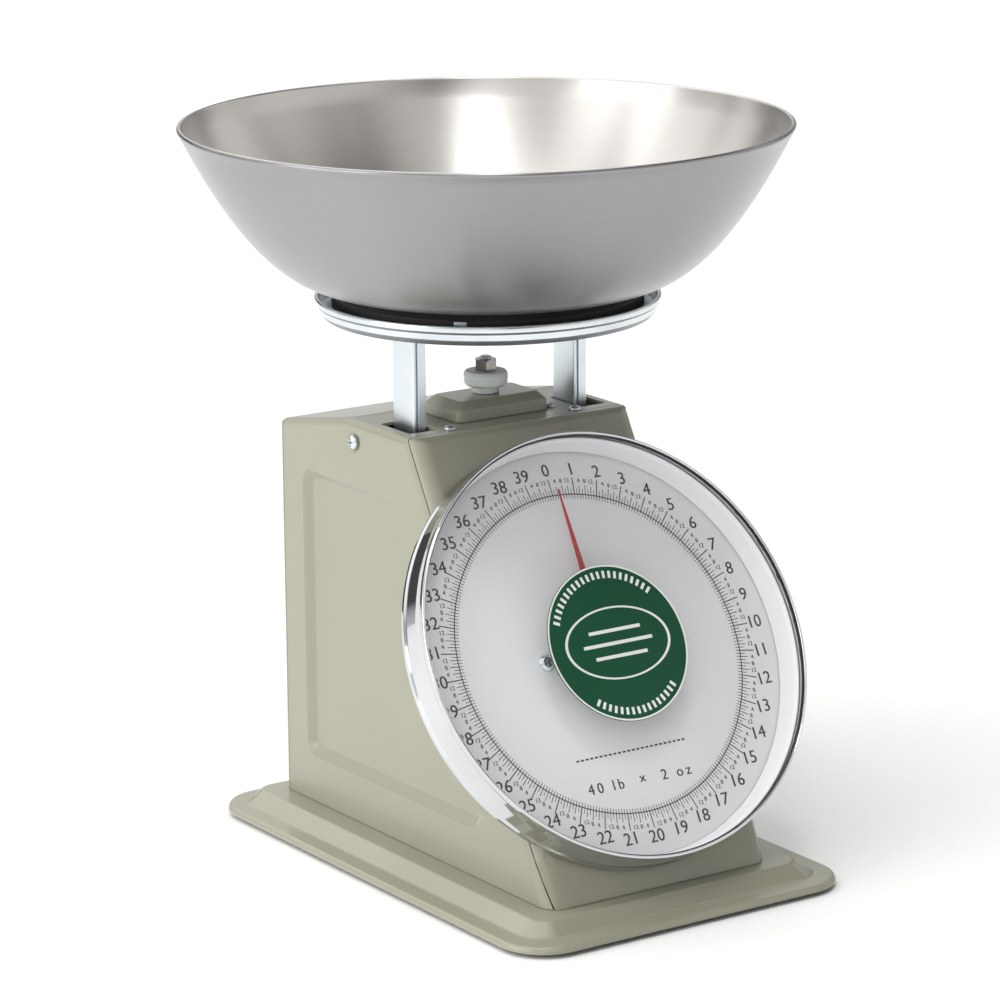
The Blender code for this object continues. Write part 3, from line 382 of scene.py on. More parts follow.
def skin(rings, cap_first=False, cap_last=False):
    """A bmesh skin over rings with equal point counts."""
    bm = bmesh.new()
    rows = [[bm.verts.new(point) for point in ring] for ring in rings]
    for upper, lower in zip(rows, rows[1:]):
        for k in range(len(upper)):
            after = (k + 1) % len(upper)
            bm.faces.new((upper[k], lower[k], lower[after], upper[after]))
    if cap_first:
        bm.faces.new(rows[0])
    if cap_last:
        bm.faces.new(list(reversed(rows[-1])))
    bmesh.ops.recalc_face_normals(bm, faces=bm.faces)
    return bm


def block(low, high):
    """A bmesh box between two corners."""
    bm = bmesh.new()
    bmesh.ops.create_cube(bm, size=1.0)
    bmesh.ops.scale(bm, vec=Vector(high) - Vector(low), verts=bm.verts)
    bmesh.ops.translate(bm, vec=(Vector(high) + Vector(low)) / 2, verts=bm.verts)
    return bm


def soften(obj, width):
    """A small bevel on the sharp edges, left as a modifier."""
    modifier = obj.modifiers.new("soft_edges", "BEVEL")
    modifier.width = width
    modifier.segments = 2
    modifier.limit_method = "ANGLE"
    modifier.angle_limit = math.radians(50)
    return obj


def even_normals(obj):
    """Flat faces keep flat shading beside their rounded edges."""
    modifier = obj.modifiers.new("even_normals", "WEIGHTED_NORMAL")
    modifier.keep_sharp = True
    modifier.weight = 90
    return obj


def thicken(obj, thickness, edge=0.0003):
    """A sheet's thickness under its surface, with softened edges."""
    solid = obj.modifiers.new("thickness", "SOLIDIFY")
    solid.thickness = thickness
    solid.offset = -1
    solid.use_even_offset = True
    baked(obj, 30)
    if edge:
        baked(soften(obj, edge), 30)
    return obj


# ---- bowl and platform
BOWL_LOW, BOWL_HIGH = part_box("bowl")
BOWL_RADIUS = BOWL_HIGH.x
BOWL_SHEET = 1.0 * MM
BEAD = 1.4 * MM
BOWL_FOOT_RADIUS = 73 * MM
RIM_HANDLE = Vector((32.1 * MM, 64.8 * MM))
FOOT_HANDLE = Vector((19.2 * MM, 0))


def bowl_side(steps=40):
    """The bowl's outer side from rim to foot, a cubic curve: (radius, z)."""
    rim = Vector((BOWL_RADIUS - 0.6 * MM, BOWL_HIGH.z - 2.2 * MM))
    foot = Vector((BOWL_FOOT_RADIUS, BOWL_LOW.z))
    near_rim = rim - RIM_HANDLE
    near_foot = foot + FOOT_HANDLE
    for step in range(steps + 1):
        t = step / steps
        s = 1 - t
        yield s ** 3 * rim + 3 * s * s * t * near_rim + 3 * s * t * t * near_foot + t ** 3 * foot


def make_bowl():
    """The spun bowl: one thin wall with a rolled bead round its rim."""
    outside = list(bowl_side())
    inside = []
    for first, second in zip(outside, outside[1:]):
        along = (second - first).normalized()
        inside.append(first + Vector((along.y, -along.x)) * BOWL_SHEET)
    centre = Vector((BOWL_RADIUS - BEAD, BOWL_HIGH.z - BEAD))
    bead = []
    for step in range(13):
        angle = math.radians(170 - 225 * step / 12)
        bead.append(centre + BEAD * Vector((math.cos(angle), math.sin(angle))))
    floor = BOWL_LOW.z + BOWL_SHEET
    profile = [(0, floor), (BOWL_FOOT_RADIUS * 0.5, floor), (BOWL_FOOT_RADIUS, floor)]
    profile += [tuple(point) for point in reversed(inside[1:-1])]
    profile += [tuple(point) for point in bead]
    profile += [tuple(point) for point in outside[1:]]
    profile += [(BOWL_FOOT_RADIUS * 0.5, BOWL_LOW.z), (0, BOWL_LOW.z)]
    bowl = mesh_piece("mixing_bowl", lathe(profile, 192), "stainless", MAIN_AXIS, 50)
    # Faces towards the axis or upward take the brighter steel copy: painted light on the bowl's inside.
    bowl.data.materials.append(MATERIALS["stainless_painted_bright_inside"])
    for face in bowl.data.polygons:
        from_axis = Vector((face.center.x, face.center.y - AXIS_Y, 0)).normalized()
        if face.normal.dot(from_axis) < -0.2 or face.normal.z > 0.9:
            face.material_index = 1
    place_piece(bowl, "bowl", ["bowl"])


SEAT_WIDTH = 16.5 * MM
CLIP_SIZE = Vector((6.4, 1.0, 4.0)) * MM
CLIP_ANGLE = -43.72


def make_platform():
    """The dished platform: a flat floor, a stepped rim and a level lip."""
    low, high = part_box("platform")
    outer = high.x
    sheet = 1.2 * MM
    floor = low.z + sheet
    lip = high.z - 0.7 * MM
    profile = fillet([
        (0, floor + sheet), (outer - 5.0 * MM, floor + sheet, 1.2 * MM),
        (outer - 2.6 * MM, low.z + 3.2 * MM, 1.0 * MM), (outer - 2.2 * MM, lip, 0.9 * MM),
        (outer, lip, 1.1 * MM), (outer, high.z - 3.8 * MM, 0.8 * MM),
        (outer - 1.2 * MM, high.z - 4.8 * MM, 1.0 * MM),
        (outer - 1.9 * MM, low.z + 2.6 * MM, 1.6 * MM), (outer - 4.6 * MM, low.z, 1.0 * MM),
        (outer - 7.0 * MM, low.z, 0.6 * MM), (outer - 8.4 * MM, floor, 0.6 * MM), (0, floor)])
    platform = mesh_piece("weighing_platform", lathe(profile, 160), "platform_zinc", MAIN_AXIS, 40)
    # Faces turned downward take the darker zinc copy: painted shade on the platform's underside.
    platform.data.materials.append(MATERIALS["platform_painted_shade"])
    for face in platform.data.polygons:
        if face.normal.z < -0.3:
            face.material_index = 1
    place_piece(platform, "load_frame", ["platform"])


def make_seat():
    """The bowl's black seat ring and the small clip on its edge; the ring is partly a rubber seat and partly
    painted shade for the gap under the bowl.
    """
    low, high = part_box("seat_ring")
    radius = high.x
    inner = radius - SEAT_WIDTH
    ring = fillet([
        (inner, low.z), (inner, high.z, 0.8 * MM), (radius - 2.2 * MM, high.z, 1.0 * MM),
        (radius - 1.2 * MM, high.z - 1.6 * MM, 0.6 * MM), (radius, high.z - 3.0 * MM, 0.8 * MM),
        (radius, low.z, 0.8 * MM), (inner + 0.2 * MM, low.z)])
    # Black ring: partly a rubber seat, partly painted shade filling the gap between bowl and platform.
    seat = mesh_piece("seat_ring_painted_shade", lathe(ring, 128, True), "black_rubber", MAIN_AXIS, 40)
    place_piece(seat, "load_frame", ["seat_ring"])
    clip = block(-CLIP_SIZE / 2, CLIP_SIZE / 2)
    bmesh.ops.bevel(clip, geom=clip.edges, offset=0.35 * MM, segments=3, profile=0.5,
                    affect="EDGES")
    angle = math.radians(CLIP_ANGLE)
    reach = radius + 0.6 * MM
    spot = Matrix.Translation((reach * math.sin(angle), AXIS_Y - reach * math.cos(angle),
                               high.z - 5.2 * MM)) @ Matrix.Rotation(angle, 4, "Z")
    clip_piece = mesh_piece("seat_clip", clip, "zinc_plate", spot)
    place_piece(clip_piece, "load_frame")


POST_BEND = 1.2 * MM
POST_SEAM = 0.9 * MM


def make_posts():
    """Folded strip posts: rounded corners, an open seam in front and a stepped flange."""
    for name in ("post_left", "post_right"):
        low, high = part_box(name)
        front = low.y
        flange = low.x + 3.6 * MM
        outline = fillet([
            (high.x - 2 * MM, high.y), (low.x, high.y, POST_BEND), (low.x, front, POST_BEND),
            (low.x + 1.6 * MM, front, 0.5 * MM), (low.x + 1.6 * MM, front + 1.8 * MM),
            (low.x + 1.6 * MM + POST_SEAM, front + 1.8 * MM),
            (low.x + 1.6 * MM + POST_SEAM, front, 0.2 * MM), (flange, front, 0.4 * MM),
            (flange + 0.4 * MM, front + 0.6 * MM, 0.3 * MM),
            (high.x, front + 0.6 * MM, POST_BEND), (high.x, high.y, POST_BEND),
            (high.x - 2 * MM, high.y)], 4)[:-1]
        rings = [[(x, y, z) for x, y in outline] for z in (low.z, high.z)]
        bm = skin(rings, True, True)
        post = mesh_piece(name + "_folded", bm, "zinc_plate", sharp=40)
        place_piece(post, "load_frame", [name])


# ---- base pan and feet
TABLE_RISE = 6.4 * MM
TABLE_INSET = 21.5 * MM
TABLE_CORNER = 9 * MM
SHOULDER = 20 * MM
RIM_INSET_SIDE = 2.2 * MM
RIM_INSET_FRONT = 2.5 * MM
RIM_INSET_BACK = 7.5 * MM


def make_base():
    """The pressed pan: raised table, sloped shoulder, flat flange and a rolled lip."""
    low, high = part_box("base_plate")
    flange = high.z - TABLE_RISE
    path = fillet([
        (30 * MM, high.z), (SHOULDER + 0.75 * MM, high.z, 3.2 * MM), (12 * MM, flange, 4.0 * MM),
        (1.2 * MM, flange, 1.6 * MM), (0.0, flange - 2.0 * MM, 0.9 * MM),
        (0.0, low.z + 0.8 * MM)], 6)
    rim = (low.x + RIM_INSET_SIDE, high.x - RIM_INSET_SIDE,
           low.y + RIM_INSET_FRONT, high.y - RIM_INSET_BACK)
    table = (low.x + SHOULDER, high.x - SHOULDER, low.y + TABLE_INSET, high.y - TABLE_INSET)
    rings = []
    for inset, z in path:
        share = inset / SHOULDER
        sides = [first + (second - first) * share for first, second in zip(rim, table)]
        radius = TABLE_CORNER + max(0.0, SHOULDER - inset) * 0.75
        rings.append([(x, y, z) for x, y in rounded_rectangle(*sides, radius, 10)])
    pan = mesh_piece("base_pan", skin(rings, cap_first=True), "enamel", sharp=40)
    thicken(pan, 1.2 * MM)
    place_piece(even_normals(pan), "housing", ["base_plate"])


def make_feet():
    """Four rubber feet with a bead round the tread."""
    for name in ("foot_front_left", "foot_front_right", "foot_back_left", "foot_back_right"):
        low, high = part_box(name)
        radius = (high.x - low.x) / 2
        profile = fillet([
            (0, high.z), (radius - 1.2 * MM, high.z, 0.5 * MM), (radius, 2.6 * MM, 1.5 * MM),
            (radius, low.z, 1.0 * MM), (radius - 2.4 * MM, low.z, 0.6 * MM),
            (radius - 3.2 * MM, low.z + 0.9 * MM, 0.5 * MM), (0, low.z + 0.9 * MM)])
        centre = Matrix.Translation((*middle_of(name).xy, 0))
        foot = mesh_piece(name + "_rubber", lathe(profile, 48), "black_rubber", centre, 40)
        place_piece(foot, "housing", [name])


# ---- housing
BACK_TOP_Z = SEAM_Z + 194.1 * MM
BEND_Y = AXIS_Y + 28.9 * MM
FRONT_TOP_Y = AXIS_Y - 30.8 * MM
KNEE = (AXIS_Y - 134.5 * MM, SEAM_Z + 24 * MM)
FRONT_BOTTOM_Y = AXIS_Y - 144.5 * MM
FRONT_RADIUS = 9 * MM
KNEE_SHARE = 0.9
CROSS_SHARE = 0.30
SIDE_SHARE = 0.42
HOUSING_SHEET = 1.4 * MM
PANEL_DEPTH = 3.0 * MM
PANEL_BEVEL = 6.0 * MM


def casing_form():
    """The housing's outer form: the side outline run across, with rounded edges."""
    outline = [(BACK_Y, SEAM_Z + GAP), (BACK_Y, BACK_TOP_Z), (BEND_Y, TOP_Z),
               (FRONT_TOP_Y, TOP_Z), KNEE, (FRONT_BOTTOM_Y, SEAM_Z + GAP)]
    bm = bmesh.new()
    corners = [bm.verts.new((-HALF_X, y, z)) for y, z in outline]
    walls = bmesh.ops.extrude_face_region(bm, geom=[bm.faces.new(corners)])
    moved = [item for item in walls["geom"] if isinstance(item, bmesh.types.BMVert)]
    bmesh.ops.translate(bm, verts=moved, vec=(2 * HALF_X, 0, 0))
    bmesh.ops.recalc_face_normals(bm, faces=bm.faces)
    weights = bm.edges.layers.float.new("bevel_weight_edge")
    for edge in bm.edges:
        a, b = (v.co for v in edge.verts)
        if max(a.z, b.z) < SEAM_Z + MM:
            continue
        if abs(a.x - b.x) > MM:
            edge[weights] = KNEE_SHARE if abs(a.y - KNEE[0]) < MM else CROSS_SHARE
        elif max(a.y, b.y) < FRONT_TOP_Y + MM:
            edge[weights] = 1.0
        else:
            edge[weights] = SIDE_SHARE
    form = mesh_piece("casing_form", bm, "enamel")
    bevel = form.modifiers.new("rounded", "BEVEL")
    bevel.limit_method = "WEIGHT"
    bevel.width = FRONT_RADIUS
    bevel.segments = 7
    bevel.miter_outer = "MITER_ARC"
    return baked(form)


def panel_outline(steps=6):
    """The recess pressed into each side, in Y and Z, with rounded corners."""
    slope = (FRONT_TOP_Y - KNEE[0]) / (TOP_Z - KNEE[1])
    top = SEAM_Z + 174.5 * MM
    bottom = SEAM_Z + 24 * MM
    rear = AXIS_Y + 70.5 * MM
    set_back = KNEE[0] + 30 * MM * math.sqrt(1 + slope * slope)
    front_top, front_bottom = (set_back + (z - KNEE[1]) * slope for z in (top, bottom))
    corner = 9 * MM
    path = [(rear, bottom, corner), (rear, top, corner),
            (front_top + 3 * MM, top - 1 * MM, corner), (front_bottom, bottom, 14 * MM)]
    closed = [path[-1], *path, path[0]]
    return fillet(closed, steps)[1:-1]


def offset_outline(points, amount):
    """A closed outline moved inwards along its corners' bisectors."""
    out = []
    count = len(points)
    for k, point in enumerate(points):
        before = (Vector(point) - Vector(points[k - 1])).normalized()
        after = (Vector(points[(k + 1) % count]) - Vector(point)).normalized()
        along = (before + after).normalized()
        out.append(tuple(Vector(point) + Vector((-along.y, along.x)) * amount))
    return out


def recess_cutter(sign):
    """The form pressed into one side: its walls ease in and out like drawn sheet."""
    outline = panel_outline()
    steps = 10
    rings = [[(sign * (HALF_X + 3 * MM), y, z) for y, z in outline]]
    for step in range(steps + 1):
        share = step / steps
        eased = 0.65 * share + 0.175 * (1 - math.cos(math.pi * share)) + 0.01 * (1 - share)
        ring = offset_outline(outline, PANEL_BEVEL * share)
        rings.append([(sign * (HALF_X - PANEL_DEPTH * eased), y, z) for y, z in ring])
    return mesh_piece("recess_cutter", skin(rings, True, True), None)


def zone(source, name, planes):
    """A copy of the casing kept in front of each plane, which is a point and a normal."""
    bm = bmesh.new()
    bm.from_mesh(source.data)
    for point, normal in planes:
        bmesh.ops.bisect_plane(bm, geom=bm.verts[:] + bm.edges[:] + bm.faces[:], dist=1e-6,
                               plane_co=point, plane_no=normal, clear_inner=True)
    return mesh_piece(name, bm, "enamel", sharp=30)


SLOT_SIDES = (42.5 * MM, 58 * MM)
SEAM_DEPTH = 5 * MM
PARTING = 0.45 * MM


def post_cutter(side):
    """A cutter for the slot that a post moves in."""
    x0, x1 = sorted(side * x for x in SLOT_SIDES)
    low = (x0, AXIS_Y - 18 * MM, TOP_Z - 12 * MM)
    high = (x1, AXIS_Y + 9 * MM, TOP_Z + 5 * MM)
    bm = block(low, high)
    upright = [edge for edge in bm.edges
               if abs(edge.verts[0].co.z - edge.verts[1].co.z) > MM]
    bmesh.ops.bevel(bm, geom=upright, offset=2 * MM, segments=4, profile=0.5, affect="EDGES")
    return mesh_piece("slot_cutter", bm, None)


def dimple_cutter(place, direction, radius, depth):
    """A shallow cone that countersinks a screw's seat."""
    profile = [(0, -depth), (radius * 0.62, -depth), (radius, 0.0), (radius + 1 * MM, depth),
               (0, depth)]
    return mesh_piece("dimple_cutter", lathe(profile, 32), None,
                      Matrix.Translation(place) @ toward_z(direction))


def make_housing():
    """Shell, front panel and rear cover, parted along the casing's real seams."""
    form = casing_form()
    for sign in (-1, 1):
        carve(form, recess_cutter(sign))
    bm = bmesh.new()
    bm.from_mesh(form.data)
    under = [face for face in bm.faces if face.normal.z < -0.999]
    bmesh.ops.delete(bm, geom=under, context="FACES_ONLY")
    bm.to_mesh(form.data)
    bm.free()

    front_face = max((v.co - DIAL_CENTRE).dot(DIAL_NORMAL) for v in form.data.vertices
                     if v.co.z > SEAM_Z + 60 * MM)
    seam = DIAL_CENTRE + DIAL_NORMAL * (front_face - SEAM_DEPTH)
    rear = Vector((0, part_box("rear_cover")[0].y, 0))
    shell = zone(form, "casing_shell", [(seam - DIAL_NORMAL * PARTING, -DIAL_NORMAL),
                                        (rear - BACK * PARTING, -BACK)])
    panel = zone(form, "casing_front", [(seam, DIAL_NORMAL)])
    cover = zone(form, "casing_rear", [(rear, BACK)])
    bpy.data.objects.remove(form, do_unlink=True)
    for piece in (shell, panel, cover):
        thicken(piece, HOUSING_SHEET)
    for side, screw in ((-1, "side_screw_left"), (1, "side_screw_right")):
        carve(shell, post_cutter(side))
        centre = middle_of(screw)
        centre.x = side * HALF_X
        carve(shell, dimple_cutter(centre, side * RIGHT, 6.6 * MM, 1.2 * MM))
    over_stud = Matrix.Translation((0, middle_of("zero_stud").y, TOP_Z))
    drill(shell, 3.8 * MM, -10 * MM, 10 * MM, over_stud)
    drill(panel, 16 * MM, -20 * MM, 10 * MM, DIAL, 48)
    for piece, node in ((shell, "housing_shell"), (panel, "front_panel"), (cover, "rear_cover")):
        place_piece(even_normals(piece), "housing", [node])


# ---- screws
HEAD_SHARE = 0.62
SHOWN_HEADS = {"dial": 4.1 * MM, "side": 3.6 * MM}


def screw_form(radius, length):
    """A pan-head screw with a cross recess; the head stands on z = 0."""
    head = radius * HEAD_SHARE
    profile = fillet([(0, head), (radius * 0.6, head * 0.97, radius * 0.3),
                      (radius, head * 0.35, radius * 0.22), (radius, 0, 0), (radius * 0.48, 0, 0),
                      (radius * 0.48, -length), (0, -length)], 5)
    obj = mesh_piece("screw_form", lathe(profile, 40), "zinc_plate")
    arm = radius * 0.60
    width = radius * 0.13
    for quarter in (0, 1):
        cutter = mesh_piece("recess", block((-arm, -width, head * 0.35), (arm, width, head * 2)),
                            None, Matrix.Rotation(quarter * math.pi / 2, 4, "Z"))
        carve(obj, cutter)
    return obj


def make_screws():
    """A detailed screw in the place of each plain one."""
    directions = {
        "top_screw_1": UP, "top_screw_2": UP,
        "side_screw_left": -RIGHT, "side_screw_right": RIGHT,
        "rear_screw_1": BACK, "rear_screw_2": BACK,
        "dial_screw_left": DIAL_NORMAL, "dial_screw_right": DIAL_NORMAL,
        "bridge_bolt_left": -RIGHT, "bridge_bolt_right": RIGHT}
    for number, (name, out) in enumerate(directions.items()):
        verts = [v.co for v in frame["nodes"][name].data.vertices]
        heights = [co.dot(out) for co in verts]
        middle = sum(verts, Vector()) / len(verts)
        seats = [co for co in verts if co.dot(out) > min(heights) + 1.0 * MM]
        radius = max((co - middle - out * (co - middle).dot(out)).length for co in seats)
        top = max(heights)
        radius = SHOWN_HEADS.get(name.split("_")[0], radius)
        head = radius * HEAD_SHARE
        seat = middle + out * (top - head - middle.dot(out))
        obj = screw_form(radius, top - min(heights) - head)
        obj.name = name + "_cross_head"
        spin = Matrix.Rotation(math.radians(23 + 37 * number), 4, "Z")
        obj.data.transform(Matrix.Translation(seat) @ toward_z(out) @ spin)
        body = "load_frame" if name.startswith("bridge") else "housing"
        place_piece(obj, body, [name])


# ---- dial
NUMERALS = 40
DIVISIONS = 8
COMB_RADIUS = 77.8 * MM
CIRCLE_RADIUS = 80 * MM
FINE_END = 82.8 * MM
QUARTER_END = 84.2 * MM
HALF_END = 84.9 * MM
FIGURE_RADIUS = 86.9 * MM
NUMERAL_END = 88.4 * MM
NUMERAL_RADIUS = 92.6 * MM
FINE_LINE = 0.32 * MM
INK = 0.04 * MM
BOLD = Vector((0.09 * MM, 0, 0.002 * MM))


def at_angle(radius, angle):
    """A point on the dial, clockwise from the top."""
    return Vector((radius * math.sin(angle), radius * math.cos(angle), 0))


def printed_bar(bm, centre, size, turn=0.0):
    """A printed bar with a centre, a size and a turn in the dial's plane."""
    made = bmesh.ops.create_cube(bm, size=1.0)
    matrix = (Matrix.Translation((*centre, INK)) @ Matrix.Rotation(turn, 4, "Z")
              @ Matrix.Diagonal((*size, INK, 1)))
    bmesh.ops.transform(bm, matrix=matrix, verts=made["verts"])


def tick(bm, inner, outer, angle, width):
    """A printed line along a radius."""
    middle = at_angle((inner + outer) / 2, angle)
    printed_bar(bm, middle.xy, (width, outer - inner), -angle)


def printed_ring(bm, wide, tall, half, steps=160):
    """A printed circle or ellipse; half is half the line's width."""
    share = half / wide
    ring = lathe([(1 - share, INK / 2), (1 + share, INK / 2),
                  (1 + share, INK * 1.5), (1 - share, INK * 1.5)], steps, True)
    ring.transform(Matrix.Diagonal((wide, tall, 1, 1)))
    mesh = bpy.data.meshes.new("ring")
    ring.to_mesh(mesh)
    ring.free()
    bm.from_mesh(mesh)


def printed_text(bm, body, size, place, spacing=1.0):
    """Text lying on the dial, centred on a point."""
    curve = bpy.data.curves.new("print", "FONT")
    curve.body = body
    curve.size = size
    curve.align_x = "CENTER"
    curve.align_y = "CENTER"
    curve.extrude = INK / 2
    curve.space_character = spacing
    curve.resolution_u = 3
    holder = new_object("print", curve)
    graph = bpy.context.evaluated_depsgraph_get()
    mesh = bpy.data.meshes.new_from_object(holder.evaluated_get(graph))
    mesh.transform(Matrix.Translation(place + Vector((0, 0, INK))))
    bm.from_mesh(mesh)
    bpy.data.objects.remove(holder, do_unlink=True)


def bold_text(bm, body, size, place, shift, spacing=1.0):
    """Text printed twice, a hair apart, which thickens its strokes."""
    for side in (-1, 1):
        printed_text(bm, body, size, place + side * shift, spacing)


def make_graduations():
    """The printed scale: a fine circle, its divisions, their small figures and the numerals."""
    scale = bmesh.new()
    figures = bmesh.new()
    step = 2 * math.pi / (NUMERALS * DIVISIONS)
    for mark in range(NUMERALS * DIVISIONS):
        part = mark % DIVISIONS
        angle = mark * step
        if part == 0:
            tick(scale, CIRCLE_RADIUS, NUMERAL_END, angle, 0.52 * MM)
        elif part % 2 == 0:
            outer = HALF_END if part * 2 == DIVISIONS else QUARTER_END
            tick(scale, CIRCLE_RADIUS, outer, angle, 0.36 * MM)
            bold_text(figures, str(part * 2), 3.1 * MM, at_angle(FIGURE_RADIUS, angle), BOLD / 2)
        else:
            tick(scale, CIRCLE_RADIUS, FINE_END, angle, FINE_LINE)
        tick(scale, COMB_RADIUS, CIRCLE_RADIUS, angle, FINE_LINE)
    for number in range(NUMERALS):
        place = at_angle(NUMERAL_RADIUS, number * DIVISIONS * step)
        bold_text(figures, str(number), 8.9 * MM, place, BOLD)
    bold_text(figures, "40 lb  ×  2 oz", 7.4 * MM, Vector((0, -64.6 * MM, 0)), BOLD, 1.42)
    dashes = 24
    for dash in range(dashes):
        x = (dash - (dashes - 1) / 2) * 2.7 * MM
        printed_bar(figures, (x, -49.6 * MM), (1.7 * MM, 0.9 * MM))
    circle = bmesh.new()
    printed_ring(circle, CIRCLE_RADIUS, CIRCLE_RADIUS, 0.26 * MM, 240)
    for name, bm in (("dial_divisions", scale), ("dial_figures", figures),
                     ("dial_circle", circle)):
        place_piece(mesh_piece(name, bm, "black_ink", DIAL), "housing")


DIAL_WALL = 104.6 * MM
BEZEL_BORE = 104.9 * MM
BEZEL_FLUTE = 1.1 * MM
PLATE_EDGE = 102.9 * MM
PLATE_SHEET = 1.0 * MM
PAN_FLOOR = -3.2 * MM
PAN_SHEET = 1.4 * MM


def turned(name, profile, slot, stands_for=(), steps=160, closed=True):
    """A turned piece of the dial, in the material of its record slot."""
    piece = mesh_piece(name, lathe(profile, steps, closed), slot, DIAL, 50)
    return place_piece(piece, "housing", stands_for)


def make_bezel():
    """The chromed bezel: a rolled lip, a shallow flute round its side and a beaded foot."""
    low, high = along_axis("bezel")
    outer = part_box("bezel")[1].x
    flute = outer - 0.7 * MM
    profile = fillet([
        (BEZEL_BORE + 0.1 * MM, high - 3.4 * MM), (BEZEL_BORE, high, 0.8 * MM),
        (outer, high, 1.2 * MM), (outer, high - 3.0 * MM, 0.9 * MM),
        (flute, high - 4.4 * MM, 1.4 * MM), (outer - BEZEL_FLUTE, high - 9.0 * MM, 14 * MM),
        (flute, low + 4.0 * MM, 2.0 * MM), (outer, low + 2.4 * MM, 0.9 * MM),
        (outer, low, 0.6 * MM), (BEZEL_BORE - 0.1 * MM, low, 0.3 * MM),
        (BEZEL_BORE - 0.1 * MM, high - 8.0 * MM), (BEZEL_BORE + 0.1 * MM, high - 7.0 * MM)], 6)
    even_normals(turned("bezel_ring", profile, "chrome", ["bezel"], 256))


def make_pan():
    """The white pan behind the dial, the printed plate and the spacer ring."""
    back, pan_high = along_axis("dial_pan")
    inside = PAN_FLOOR + PAN_SHEET
    pan = fillet([
        (DIAL_WALL, pan_high), (DIAL_WALL, PAN_FLOOR, 1.6 * MM), (58 * MM, PAN_FLOOR, 2 * MM),
        (52 * MM, back, 2 * MM), (9 * MM, back), (9 * MM, back + PAN_SHEET),
        (51.5 * MM, back + PAN_SHEET, 1.5 * MM), (57.5 * MM, inside, 1.5 * MM),
        (DIAL_WALL - 1.2 * MM, inside, 0.8 * MM), (DIAL_WALL - 0.9 * MM, pan_high)], 4)
    turned("dial_pan_white", pan, "white_paint", ["dial_pan"])
    plate = fillet([
        (4.5 * MM, 0), (PLATE_EDGE - 0.2 * MM, 0), (PLATE_EDGE, -0.2 * MM),
        (PLATE_EDGE, -PLATE_SHEET), (4.5 * MM, -PLATE_SHEET)], 3)
    turned("dial_face", plate, "white_paint", ["dial_plate"])
    ring_low, ring_high = along_axis("spacer_ring")
    foot = pan_high + GAP
    ring = fillet([
        (101.6 * MM, ring_low), (103.0 * MM, pan_high, 2 * MM), (104.0 * MM, ring_high),
        (DIAL_WALL, ring_high), (DIAL_WALL, foot), (DIAL_WALL - 1.0 * MM, foot),
        (102.4 * MM, ring_low)], 4)
    turned("spacer_wall", ring, "white_paint", ["spacer_ring"])


def make_window():
    """The clear window, a little rounded at its edge, and its thin gasket."""
    low, high = along_axis("window")
    edge = 0.4 * MM
    glass = fillet([
        (0, high), (DIAL_WALL - edge, high, 0.3 * MM), (DIAL_WALL, high - edge),
        (DIAL_WALL, low + edge), (DIAL_WALL - edge, low), (0, low)], 3)
    turned("dial_glass", glass, "clear_window", ["window"], 128, False)
    seat = high + GAP / 2
    inner, outer = DIAL_WALL - 0.4 * MM, DIAL_WALL + 0.2 * MM
    gasket = fillet([
        (inner, seat), (inner, seat + 0.5 * MM, 0.2 * MM), (outer, seat + 0.6 * MM),
        (outer, seat)], 4)
    turned("glass_gasket", gasket, "black_rubber", (), 192)


EMBLEM = (29.5 * MM, 17.5 * MM)
DASH_STEP = 5.4


def make_label():
    """The green disc on the window, with plain rings and dashes."""
    low, high = along_axis("window_label")
    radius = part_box("window_label")[1].x - middle_of("window_label").x
    disc = fillet([(0, high), (radius - 0.2 * MM, high, 0.2 * MM), (radius, low + 0.1 * MM),
                   (radius - 0.1 * MM, low), (0, low)], 3)
    turned("label_disc", disc, "green_label", ["window_label"], 128, False)
    marks = bmesh.new()
    raised = Matrix.Translation((0, 0, high - INK / 4))
    border = radius - 0.65 * MM
    printed_ring(marks, border, border, 0.45 * MM)
    printed_ring(marks, *EMBLEM, 0.75 * MM)
    for middle, dashes in ((0, range(-12, 10)), (180, range(-8, 8))):
        for dash in dashes:
            angle = math.radians(middle + DASH_STEP * dash)
            tick(marks, 32.2 * MM, 35.8 * MM, angle, 1.5 * MM)
    for row, length in ((-1, 30 * MM), (0, 40 * MM), (1, 30 * MM)):
        printed_bar(marks, (0, row * 6.4 * MM), (length, 1.7 * MM))
    piece = mesh_piece("label_marks", marks, "white_ink", DIAL @ raised)
    place_piece(piece, "housing")


POINTER_TIP = 81.5 * MM
POINTER_TAIL = -18 * MM


def make_pointer():
    """The red pointer: a tapered blade with a shallow ridge."""
    low, high = along_axis("pointer")
    shoulder = high - 0.25 * MM
    path = [(POINTER_TAIL, 3.4 * MM), (0.0, 2.9 * MM), (36 * MM, 1.75 * MM),
            (POINTER_TIP - 0.6 * MM, 0.34 * MM), (POINTER_TIP, 0.12 * MM)]
    rings = [[(-half, y, low), (half, y, low), (half, y, shoulder), (0, y, high),
              (-half, y, shoulder)] for y, half in path]
    blade = mesh_piece("pointer_blade", skin(rings, True, True), "red_paint", DIAL, 20)
    place_piece(blade, "pointer", ["pointer"])


